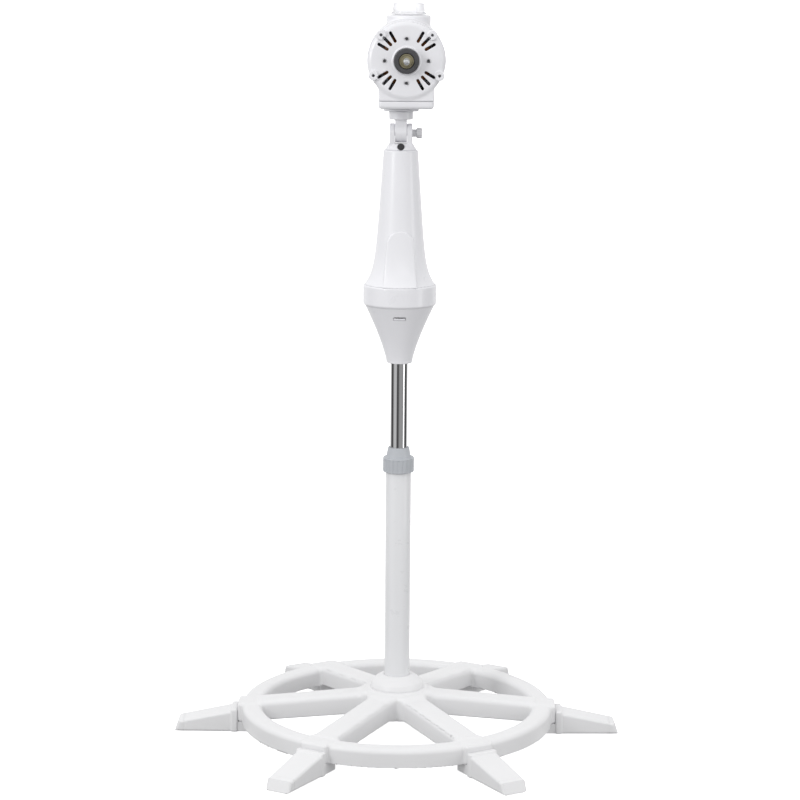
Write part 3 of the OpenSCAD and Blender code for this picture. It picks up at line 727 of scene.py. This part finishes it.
def make_base():
    """The base, its six legs, turned copies of the first, and the cover over the hub."""
    show("base_shell", "base_frame", base_body, "base_plastic", "stand", 1.8)
    first = sculpt("leg_shell_1", leg_body, LEG_LOW, LEG_HIGH, 1.2)
    for i in range(1, 7):
        leg = first
        if i > 1:
            leg = bpy.data.objects.new(f"leg_shell_{i}", first.data.copy())
            bpy.context.scene.collection.objects.link(leg)
            leg.data.transform(Matrix.Rotation(math.radians(60 * (i - 1)), 4, "Z"))
        finish_piece(leg, "base_plastic", "stand", [f"leg_{i}"])
    inside = TUBE_R + 0.2
    cover = lathe("hub_cover", [
        (inside, PAD_TOP, 0.3), (40, PAD_TOP, 0.6), (40, 71, 2), (38, 77, 6), (31, 83.5, 10),
        (23.5, 87.9, 3), (inside, 88, 0.5), (inside, 83, 0), (24, 79, 0), (36, 71, 0)])
    finish_piece(cover, "base_plastic", "stand", ["pole_cover"])


# ---------- stem ----------

NUT_GRIP_R, NUT_BORE, NUT_GROOVES = 23.25, 13.1, 20


def nut_body(p):
    """The height-lock nut: a grip with shallow finger grooves under a tapering collar."""
    low, high = (corner[2] for corner in span("height_lock_nut"))
    outline = [(19.3, low), (22.9, low), (NUT_GRIP_R, low + 1.5), (NUT_GRIP_R, low + 20.5),
               (22.6, low + 22), (18.6, low + 22.2), (15.7, high), (NUT_BORE, high),
               (NUT_BORE, high - 7.6), (14, high - 7.6), (16, high - 15.6), (16, low + 13.4),
               (19.3, low + 13.4)]
    body = turned(p, outline)
    q = fold(p, NUT_GROOVES)
    groove = length(q[:, 0] - 24.0, q[:, 1]) - 1.6
    groove = np.maximum(groove, np.maximum(low + 2.5 - p[:, 2], p[:, 2] - low - 19.5))
    return cut(body, groove, 0.8) + 0.15


def make_stem():
    """The lower tube, the chrome mast and the nut that locks the height."""
    tube_low, tube_high = span("lower_tube")
    inside = TUBE_R - 1.5
    tube = lathe("lower_tube_shell", [
        (inside, tube_low[2], 0.2), (TUBE_R, tube_low[2], 0.3), (TUBE_R, tube_high[2], 0.6),
        (inside, tube_high[2], 0.4)])
    finish_piece(tube, "white_paint", "stand", ["lower_tube"])
    mast_low, mast_high = span("mast_tube")
    mast = lathe("mast_shell", [
        (MAST_R - 1.2, mast_low[2], 0.3), (MAST_R, mast_low[2], 0.5), (MAST_R, mast_high[2], 0.5),
        (MAST_R - 1.2, mast_high[2], 0.3)])
    finish_piece(mast, "chrome", "column", ["mast_tube"])
    show("lock_nut_grip", "height_lock_nut", nut_body, "grey_plastic", "lock_nut", 0.7)


# ---------- column ----------

WALL = 2.5
SLEEVE_R, SLEEVE_TOP = 15.3, 645.0
COL_Z, CUP_MID, CUP_TOP = 563.0, 640.0, 650.0
CUP_R0, CUP_R1 = 19.0, 47.0
BAND_R, BAND_TOP, COL_TOP = 53.7, 679.0, 875.0
COL_R, COL_R_Z, COL_TAPER = 33.2, 758.0, 0.0694
FLARE, FLARE_FADE = 13.0, 19.0
CUP_LEAN = 0.87           # makes the radial distance to the slanted cup a true one
ARCH_W, ARCH_R, ARCH_Z, PANEL_R, PANEL_OUT = 25.0, 20.0, 740.0, 70.0, 2.2
LATCH_Z, KNOB_Z, GLAND_Z, CLAMP_Z = 633.0, 716.0, 612.0, 583.0
SEAM_SCREWS = (770.0, 850.0)


def cup_r(z):
    """Outer radius of the flared cup under the band."""
    return CUP_R0 + (CUP_R1 - CUP_R0) * np.maximum((z - COL_Z) / (CUP_MID - COL_Z), 0) ** 1.3


def col_r(z):
    """Outer radius of the tapering column above the band."""
    return COL_R - COL_TAPER * (z - COL_R_Z) + FLARE * np.exp((BAND_TOP - z) / FLARE_FADE)


def col_lean(z):
    """Makes the radial distance to the flaring column about a true one."""
    return np.clip(0.75 + (z - BAND_TOP) / 60, 0.75, 1)


def to_rear(p, z, radius, y0, y1, r=0.0):
    """A round bar towards the rear at a height."""
    return rod(p, 1, (0, z), radius, y0, y1, r)


def cup_body(p):
    """The flared cup with its wide band, the latch slot, the gland's hole and the clamp screw's."""
    x, y, z = p.T
    radial = length(x, y)
    skin = (radial - cup_r(z)) * CUP_LEAN
    shell = np.maximum(skin, -skin - WALL * CUP_LEAN)
    body = edged(shell, np.maximum(COL_Z - z, z - CUP_TOP), 0.8)
    band = edged(radial - BAND_R, np.maximum(CUP_TOP - z, z - BAND_TOP), 2.2)
    inside = np.maximum(CUP_TOP + WALL - z, z - BAND_TOP + WALL)
    band = cut(band, edged(radial - BAND_R + WALL, inside, 1.5))
    band = cut(band, np.maximum(radial - 44, z - BAND_TOP + 1))
    band = cut(band, np.maximum(radial - 38, z - BAND_TOP - 1))
    body = join(body, band, 2.5)
    sleeve = np.maximum(radial - SLEEVE_R, np.maximum(COL_Z - z, z - SLEEVE_TOP))
    floor = edged(radial - CUP_R0, np.maximum(COL_Z - z, z - COL_Z - 3), 0.6)
    body = join(body, join(sleeve, floor), 0.8)
    body = cut(body, radial - MAST_R - 0.1)
    slot = edged(box(p, (-8.8, -60, LATCH_Z - 2.5), (8.8, -20, LATCH_Z + 2.5), 1.5), y + 20, 0)
    body = cut(body, slot, 0.8)
    body = cut(body, to_rear(p, GLAND_Z, 6.1, 20, 60), 0.4)
    body = cut(body, to_rear(p, CLAMP_Z, 3.1, 5, 45))
    return cut(body, to_rear(p, CLAMP_Z, 5.2, 20.9, 45), 0.4)


def column_skin(p):
    """Distances to the column's smooth outside: closed at its ends, and its side alone."""
    radial = length(p[:, 0], p[:, 1])
    z = p[:, 2]
    side = (radial - col_r(z)) * col_lean(z)
    return both(edged(side, z - COL_TOP, 2.0), BAND_TOP - z, 0.3), side


def column_body(p, front):
    """One half of the column shell, with its screw posts and, at the rear, the speed knob's boss."""
    x, y, z = p.T
    outside, side = column_skin(p)
    hollow = np.maximum(side + WALL, np.maximum(BAND_TOP - 5 - z, z - COL_TOP + 4))
    body = cut(outside, hollow, 0.6)
    for height in SEAM_SCREWS:
        post = np.maximum(length(x, z - height) - 4.4, side + 1)
        body = join(body, post, 1.0)
    boss = cut(to_rear(p, KNOB_Z, 19, 30, 44.5, 1.2), side + 1)
    body = join(body, boss, 3.0 if not front else 0.0)
    for height in SEAM_SCREWS:
        body = cut(body, to_rear(p, height, 1.75, -12.5, 70))
        body = cut(body, to_rear(p, height, 3.8, col_r(height) - 4, 70), 0.3)
    body = cut(body, to_rear(p, KNOB_Z, 3.2, 20, 60), 0.3)
    body = cut(body, np.maximum(length(x, y) - 20.2, 860 - z), 0.3)
    return both(body, y + 0.15 if front else 0.15 - y, 0.5)


def fascia_body(p):
    """The arched panel on the column's front, flatter than the column, with a bevelled edge."""
    x, y, z = p.T
    side = (length(x, y) - col_r(z)) * col_lean(z)
    front = (length(x, y + col_r(z) + PANEL_OUT - PANEL_R) - PANEL_R) * col_lean(z)
    outline = [(-ARCH_W, BAND_TOP - 0.5), (ARCH_W, BAND_TOP - 0.5)]
    for a in np.linspace(0, math.pi, 17):
        outline.append((ARCH_R * math.cos(a), ARCH_Z + ARCH_R * math.sin(a)))
    panel = edged(polygon(x, z, outline), front, 2.0)
    return np.maximum(both(panel, 0.25 - side, 0.1), y)


def latch_body(p):
    """The latch tab in its slot, with a raised lower lip."""
    low, high = span("latch_tab")
    body = box(p, low, high, 0.8)
    recess = box(p, (-6, low[1] - 2, LATCH_Z - 0.6), (6, low[1] + 1.2, high[2] - 0.5), 0.3)
    return cut(body, recess, 0.4)


def speed_knob_body(p):
    """The rotary knob at the rear: a skirt, a grip with a bar across it, and its stem."""
    x, y, z = p.T
    body = to_rear(p, KNOB_Z, 16, 44.8, 48.8, 1.2)
    body = join(body, to_rear(p, KNOB_Z, 14, 46, 58, 1.5), 1.5)
    body = join(body, box(p, (-2.2, 46, KNOB_Z - 15.5), (2.2, 59.5, KNOB_Z + 15.5), 1.0), 1.0)
    angle = np.arctan2(z - KNOB_Z, x)
    ripple = 0.25 * np.cos(24 * angle) * np.clip((y - 49) / 2, 0, 1)
    return join(body + ripple, to_rear(p, KNOB_Z, 2.9, 30, 46))


def front_half(p):
    """The column's front half."""
    return column_body(p, True)


def rear_half(p):
    """The column's rear half."""
    return column_body(p, False)


def make_column():
    """The column's cup, its two halves, the fascia, the latch and the speed knob."""
    show("cup_shell", "column_cup", cup_body, "white_plastic", "column", 1.2)
    show("column_front_shell", "column_front", front_half, "white_plastic", "column", 1.2)
    show("column_rear_shell", "column_rear", rear_half, "white_plastic", "column", 1.2)
    show("fascia_panel", "control_fascia", fascia_body, "white_plastic", "column", 0.9)
    show("latch_lip", "latch_tab", latch_body, "white_plastic", "column", 0.4)
    show("speed_grip", "speed_knob", speed_knob_body, "white_plastic", "speed_knob", 0.6)


# ---------- neck ----------

FORK_R, FORK_IN, FORK_OUT, FORK_Z = 14.0, 8.9, 16.6, 856.0
FORK_STEP, FORK_TOP, FORK_PLUG_R, SHOULDER_R = 876.0, 884.0, 20.0, 23.0
NECK_SCREW_Z = 880.5
TONGUE, COLLAR_R, COLLAR_Z, COLLAR_TOP = 8.5, 17.5, 919.0, 930.5
BOLT_R, PIVOT_R, LINK_Y = 4.05, 6.0, 17.0
KNOB_GROOVES, GROOVE_AT = 12, 8.1


def on_tilt(p, radius, x0, x1, r=0.0):
    """A round bar on the tilt axis."""
    return rod(p, 0, (0, TILT_Z), radius, x0, x1, r)


def fork_body(p):
    """The fork: a plug in the column, a domed shoulder and two round ears."""
    x, y, z = p.T
    radial = length(x, y)
    body = edged(radial - FORK_PLUG_R, np.maximum(FORK_Z - z, z - FORK_STEP), 0.6)
    shoulder = radial - (SHOULDER_R - 5.4 * np.clip((z - COL_TOP) / (FORK_TOP - COL_TOP), 0, 1))
    body = join(body, edged(shoulder, np.maximum(COL_TOP + 0.05 - z, z - FORK_TOP), 1.5), 0.5)
    for x0 in (-FORK_OUT, FORK_IN):
        x1 = x0 + FORK_OUT - FORK_IN
        ear = on_tilt(p, FORK_R, x0, x1, 1.2)
        ear = join(ear, box(p, (x0, -FORK_R, FORK_STEP), (x1, FORK_R, TILT_Z), 1.2))
        ear = both(ear, radial - 21.5, 1.0)
        body = join(body, ear, 1.5)
    body = cut(body, np.maximum(radial - 12, z - 878))
    body = cut(body, on_tilt(p, 4.1, -30, 30), 0.3)
    body = cut(body, on_tilt(p, 7.4, -30, -FORK_OUT + 4), 0.3)
    body = cut(body, to_rear(p, NECK_SCREW_Z, 2.6, -30, -8))
    return cut(body, to_rear(p, NECK_SCREW_Z, 5.1, -30, -17.8), 0.1)


def yoke_body(p):
    """The tongue between the ears, a stem and the round collar under the plate."""
    x, y, z = p.T
    radial = length(x, y)
    body = on_tilt(p, FORK_R - 0.4, -TONGUE, TONGUE, 1.0)
    body = join(body, box(p, (-TONGUE, -12, TILT_Z), (TONGUE, 12, COLLAR_Z + 1), 1.5), 1.5)
    body = join(body, edged(radial - COLLAR_R, np.maximum(COLLAR_Z - z, z - COLLAR_TOP), 1.2), 2.0)
    body = cut(body, on_tilt(p, BOLT_R, -30, 30), 0.3)
    return cut(body, np.maximum(radial - PIVOT_R - 0.02, 912 - z), 0.2)


def plate_body(p):
    """The oscillation plate: rounded ends and a tab for the link's pin."""
    x, y, z = p.T
    low, high = span("link_plate")
    plan = np.column_stack((x, y, 0 * z))
    ends = np.maximum(low[2] - z, z - high[2])
    wide = edged(box(plan, (low[0], low[1] + 0.2, -50), (high[0], 20, 50), 14.0), ends, 0.9)
    tab = edged(box(plan, (-10, -10, -50), (10, high[1], 50), 6.0), ends, 0.9)
    body = both(join(wide, tab, 2.0), ends, 0.3)
    body = cut(body, length(x, y) - PIVOT_R - 0.05, 0.2)
    return cut(body, length(x, y - LINK_Y) - 2.52, 0.2)


def tilt_knob_body(p):
    """The small knob on the tilt bolt, with finger grooves."""
    low, high = span("tilt_knob")
    body = on_tilt(p, 6.2, low[0], 24.5, 0.4)
    body = join(body, on_tilt(p, 7.5, 22.6, high[0], 1.0), 0.5)
    q = fold(np.column_stack((p[:, 2] - TILT_Z, p[:, 1], p[:, 0])), KNOB_GROOVES)
    groove = length(q[:, 0] - GROOVE_AT, q[:, 1]) - 1.1
    body = cut(body, np.maximum(groove, np.abs(q[:, 2] - 26.6) - 3), 0.4)
    return cut(body, on_tilt(p, BOLT_R, low[0] - 5, 29))


def make_neck():
    """The fork, the tongue that tilts in it, the plate on top and the tilt knob."""
    show("fork_shell", "neck_fork", fork_body, "white_plastic", "column", 0.8)
    show("yoke_shell", "tilt_yoke", yoke_body, "white_plastic", "neck", 0.8)
    show("swing_plate", "link_plate", plate_body, "white_plastic", "neck", 0.7)
    show("tilt_grip", "tilt_knob", tilt_knob_body, "knob_plastic", "tilt_knob", 0.35)


# ---------- head ----------

FACE, SEAM, BACK = 82.0, 55.0, 70.0
COVER_R, HOUSING_R = 54.5, 56.0
SKIRT, SKIRT_Z, BLOCK_Z = 39.5, 949.0, 938.0
BLOCK_BACK, BLOCK_FRONT = 68.0, FACE - 3
CROWN_R, CROWN_TOP, KNOB_R, KNOB_FLANGE, KNOB_GRIP = 32.0, 1067.0, 24.0, 1068.0, 1070.0
VENTS, VENT_R, VENT_REACH = 12, 29.0, 8.0
STATOR_R, COIL_R, COIL_MIDDLES = 42.1, 31.0, (-2.4, 49.9)
BEARING_IN, BEARING_OUT = 10.6, 13.5
SLOT_R0, SLOT_R1, SLOT_W, SLOT_STEP = 29.6, 47.2, 4.2, 14.5
LUG_AT, LUG_ANGLES, SCREW_RING = 51.0, (45, 135, 204, 336), 31.0
PULL_X, PULL_Y = AXIS_X + 3, 37.0
POSTS = [(AXIS_X + x, y) for x in (-33, 33) for y in (-42, 42)]
GEAR_FLOOR, CRANK_ROOM, WHEEL_ROOM = 946.7, 17.8, 7.3
CRANK_AT = joint_at("crank_turn")[:2]
WHEEL_AT = joint_at("wheel_turn")[:2]
SPINDLE_ROOM, PIVOT_BOSS, PIVOT_BORE, CRANK_BORE = 3.6, 16.0, 11.05, 13.5


def head_axes(p):
    """Coordinates along the motor axis: sideways, up, forward."""
    return p[:, 0] - AXIS_X, p[:, 2] - AXIS_Z, -p[:, 1]


def along(p, radius, f0, f1, r=0.0, at=(0.0, 0.0)):
    """A round bar along the motor axis, from f0 to f1 forward of the swivel axis."""
    u, v, f = head_axes(p)
    return edged(length(u - at[0], v - at[1]) - radius, np.maximum(f0 - f, f - f1), r)


def polar(radius, degrees):
    """Sideways and up from a radius and an angle."""
    return radius * math.cos(math.radians(degrees)), radius * math.sin(math.radians(degrees))


def slot_cut(u, v):
    """Plan distance to the twelve vent slots, in four groups of three."""
    angle = np.degrees(np.arctan2(v, u)) % 90 - 45
    near = angle - SLOT_STEP * np.clip(np.round(angle / SLOT_STEP), -1, 1)
    radial = length(u, v)
    x, y = radial * np.cos(np.radians(near)), radial * np.sin(np.radians(near))
    middle, reach = (SLOT_R0 + SLOT_R1) / 2, (SLOT_R1 - SLOT_R0 - SLOT_W) / 2
    return length(np.maximum(np.abs(x - middle) - reach, 0), y) - SLOT_W / 2


def skirt_box(p, front, back, inset=0.0, r=2.0):
    """The flat-sided skirt under the round body; with an inset, its hollow, open below."""
    return box(p, (AXIS_X - SKIRT + inset, -front + inset, SKIRT_Z - (2 if inset else 0)),
               (AXIS_X + SKIRT - inset, back - inset, AXIS_Z - 30), r)


def cover_body(p):
    """The round front cover with its skirt, vent slots, guard lugs and raised centre ring."""
    u, v, f = head_axes(p)
    body = join(along(p, COVER_R, 0, FACE, 6.0), skirt_box(p, BLOCK_FRONT, 0), 3.0)
    hollow = join(along(p, COVER_R - WALL, -5, FACE - WALL, 3.5), skirt_box(p, BLOCK_FRONT, 10, WALL))
    body = cut(body, hollow, 0.8)
    for degrees in LUG_ANGLES:
        at = polar(LUG_AT, degrees)
        body = join(body, along(p, 7, 62, FACE + 4, 1.0, at), 1.2)
    body = join(body, along(p, BEARING_OUT, 60, FACE), 0.5)
    body = join(body, along(p, 20, FACE - 1, FACE + 2.5, 0.8), 1.0)
    for degrees in (0, 90, 180, 270):
        at = polar(SCREW_RING, degrees)
        body = join(body, along(p, 4.5, 70, FACE - 1, 0, at), 0.5)
        body = cut(body, along(p, 1.6, 68, FACE + 10, 0, at), 0.2)
        body = cut(body, along(p, 2.9, FACE - 0.4, FACE + 10, 0, at), 0.3)
    for degrees in LUG_ANGLES:
        body = cut(body, along(p, 2, 72, FACE + 10, 0, polar(LUG_AT, degrees)), 0.5)
    body = cut(body, along(p, BEARING_IN, 50, FACE + 20))
    body = cut(body, along(p, 18, FACE, FACE + 20), 0.3)
    body = cut(body, edged(slot_cut(u, v), np.abs(f - FACE) - 7, 0), 0.7)
    return np.maximum(body, SEAM - f)


def stator_ribs(u, v, f):
    """Four ribs on the diagonals that hold the stator in the housing."""
    diagonal = np.abs(np.abs(u) - np.abs(v)) / math.sqrt(2) - 2
    ends = np.maximum(8 - f, f - 40)
    radial = np.maximum(STATOR_R - length(u, v), length(u, v) - HOUSING_R + 1)
    return np.maximum(diagonal, np.maximum(ends, radial))


def housing_body(p):
    """The rear housing: a drum with a rounded back, rear vents, a skirt and a raised crown."""
    u, v, f = head_axes(p)
    drum = edged(length(u, v) - HOUSING_R, -BACK - f, 14.0)
    body = join(drum, skirt_box(p, SEAM + 5, BLOCK_BACK), 3.0)
    crown = rod(p, 2, (PULL_X, PULL_Y), CROWN_R, AXIS_Z + 30, CROWN_TOP, 2.5)
    body = join(body, crown, 3.0)
    hollow = edged(length(u, v) - HOUSING_R + WALL, -BACK + WALL - f, 11.5)
    hollow = join(hollow, skirt_box(p, SEAM + 20, BLOCK_BACK, WALL))
    body = cut(body, hollow, 0.8)
    for x, y in POSTS:
        body = join(body, rod(p, 2, (x, y), 5.2, SKIRT_Z, SKIRT_Z + 16), 1.0)
        body = cut(body, rod(p, 2, (x, y), 1.9, SKIRT_Z - 2, SKIRT_Z + 14))
    body = join(body, stator_ribs(u, v, f), 0.5)
    q = fold(np.column_stack((u, v, f)), VENTS)
    vent = length(np.maximum(np.abs(q[:, 0] - VENT_R) - VENT_REACH, 0), q[:, 1]) - 2
    body = cut(body, np.maximum(vent, f + BACK - 8), 0.7)
    body = cut(body, rod(p, 2, (PULL_X, PULL_Y), 3.6, 1036, 1080), 0.3)
    return both(body, f - SEAM, 0.4)


def block_body(p):
    """The block under the motor that turns on the pivot, with rounded lower corners."""
    x, y, z = p.T
    body = box(p, (AXIS_X - SKIRT, -BLOCK_FRONT, BLOCK_Z), (AXIS_X + SKIRT, BLOCK_BACK, SKIRT_Z + 8), 5.0)
    body = both(body, z - SKIRT_Z + 0.3, 0.5)
    body = join(body, rod(p, 2, (0, 0), PIVOT_BOSS, BLOCK_Z, 960, 0.5), 1.5)
    body = cut(body, length(x, y) - PIVOT_BORE, 0.3)
    body = cut(body, length(x - CRANK_AT[0], y - CRANK_AT[1]) - CRANK_BORE, 0.4)
    body = cut(body, rod(p, 2, CRANK_AT, CRANK_ROOM, GEAR_FLOOR, SKIRT_Z + 9))
    body = cut(body, rod(p, 2, WHEEL_AT, WHEEL_ROOM, GEAR_FLOOR, SKIRT_Z + 9))
    for at in POSTS:
        body = cut(body, rod(p, 2, at, 2.2, BLOCK_Z - 2, SKIRT_Z + 5))
        body = cut(body, rod(p, 2, at, 4.4, BLOCK_Z - 5, BLOCK_Z + 3), 0.3)
    return body


def hexagon(u, v, radius):
    """Plan distance to a six-sided outline with corners at the radius."""
    angle = np.arctan2(v, u)
    step = math.pi / 3
    angle = angle - step * np.floor(angle / step) - step / 2
    return length(u, v) * np.cos(angle) - radius * math.cos(step / 2)


def knob_body(p):
    """The faceted knob that pulls the oscillation clutch, with its rod and fork."""
    low, high = span("clutch_knob")
    x, y, z = p.T
    at = (PULL_X, PULL_Y)
    taper = 0.1 * np.clip(z - KNOB_GRIP, 0, 20)
    plan = hexagon(x - PULL_X, y - PULL_Y, KNOB_R) + taper
    grip = edged(plan, np.maximum(KNOB_GRIP - z, z - high[2]), 2.0)
    body = join(grip, rod(p, 2, at, KNOB_R + 1.5, KNOB_FLANGE, KNOB_GRIP + 1, 0.8), 1.5)
    body = join(body, rod(p, 2, at, 3.2, low[2], KNOB_GRIP + 2), 0.3)
    arm = box(p, (PULL_X - 4, WHEEL_AT[1], low[2]), (WHEEL_AT[0] + 6, PULL_Y + 4, low[2] + 2.5), 0.3)
    body = join(body, arm, 0.5)
    return cut(body, rod(p, 2, WHEEL_AT, SPINDLE_ROOM, 1000, 1025))


def winding_body(p):
    """Copper end turns: a rounded ring gathered into twelve bundles."""
    u, v, f = head_axes(p)
    wave = np.cos(12 * np.arctan2(v, u))
    side = np.abs(length(u, v) - COIL_R) - 6.9 - 0.4 * wave
    rear, front = (edged(side, np.abs(f - middle) - 4.8 - 0.8 * wave, 3.5) for middle in COIL_MIDDLES)
    return np.minimum(rear, front)


def shaft_pieces():
    """The bright shaft, the dark thread around it and the bronze bush."""
    axis = dict(axis="-y", centre=(AXIS_X, 0, AXIS_Z))
    shaft = lathe("shaft_bar", [
        (0, -44, 0), (3, -44, 0.5), (3, -22.3, 0), (4.4, -22.3, 0.3), (4.4, 93, 0.2), (4, 93.2, 0),
        (4, 130, 0.8), (0, 130, 0)], segments=64, **axis)
    finish_piece(shaft, "steel", "rotor", ["motor_shaft"])
    ridges = [(11.2, FACE + 0.02, 0), (16.5, FACE + 0.02, 0), (16.5, FACE + 3, 0.3)]
    for i in range(6):
        z = FACE + 3.1 + 1.45 * i
        ridges += [(16.9, z, 0.1), (17.5, z + 0.6, 0.2)]
    ridges += [(16.9, FACE + 11.9, 0.3), (16.4, FACE + 12.02, 0.1), (11.2, FACE + 12.02, 0.5)]
    thread = lathe("nose_thread", ridges, **axis)
    finish_piece(thread, "dark_plastic", "head", ["guard_thread"])
    bush = lathe("bush_ring", [
        (8.05, 60, 0.2), (10.5, 60, 0.2), (10.5, 91, 0.6), (8.9, 91, 0.4), (8.05, 90.2, 0.2)], **axis)
    finish_piece(bush, "bronze", "head", ["nose_bush"])


def make_head():
    """The cover, housing and block of the motor, the clutch knob, the windings and the shaft."""
    show("cover_shell", "front_cover", cover_body, "white_plastic", "head", 0.9)
    show("housing_shell", "motor_housing", housing_body, "white_plastic", "head", 1.2)
    show("block_shell", "swivel_block", block_body, "white_plastic", "head", 1.2)
    show("clutch_grip", "clutch_knob", knob_body, "milky_plastic", "clutch", 0.8)
    show("end_turns", "windings", winding_body, "copper", "head", 0.9)
    shaft_pieces()


# ---------- carried-over CAD nodes ----------

def dress_cad_nodes():
    """Every CAD node that stays visible gets its procedural material."""
    for name, obj in frame["nodes"].items():
        obj.data.materials.clear()
        obj.data.materials.append(MATERIALS[SLOT_OF[name]])


make_materials()
make_camera()
make_light()
make_stage()
dress_cad_nodes()
make_base()
make_stem()
make_column()
make_neck()
make_head()
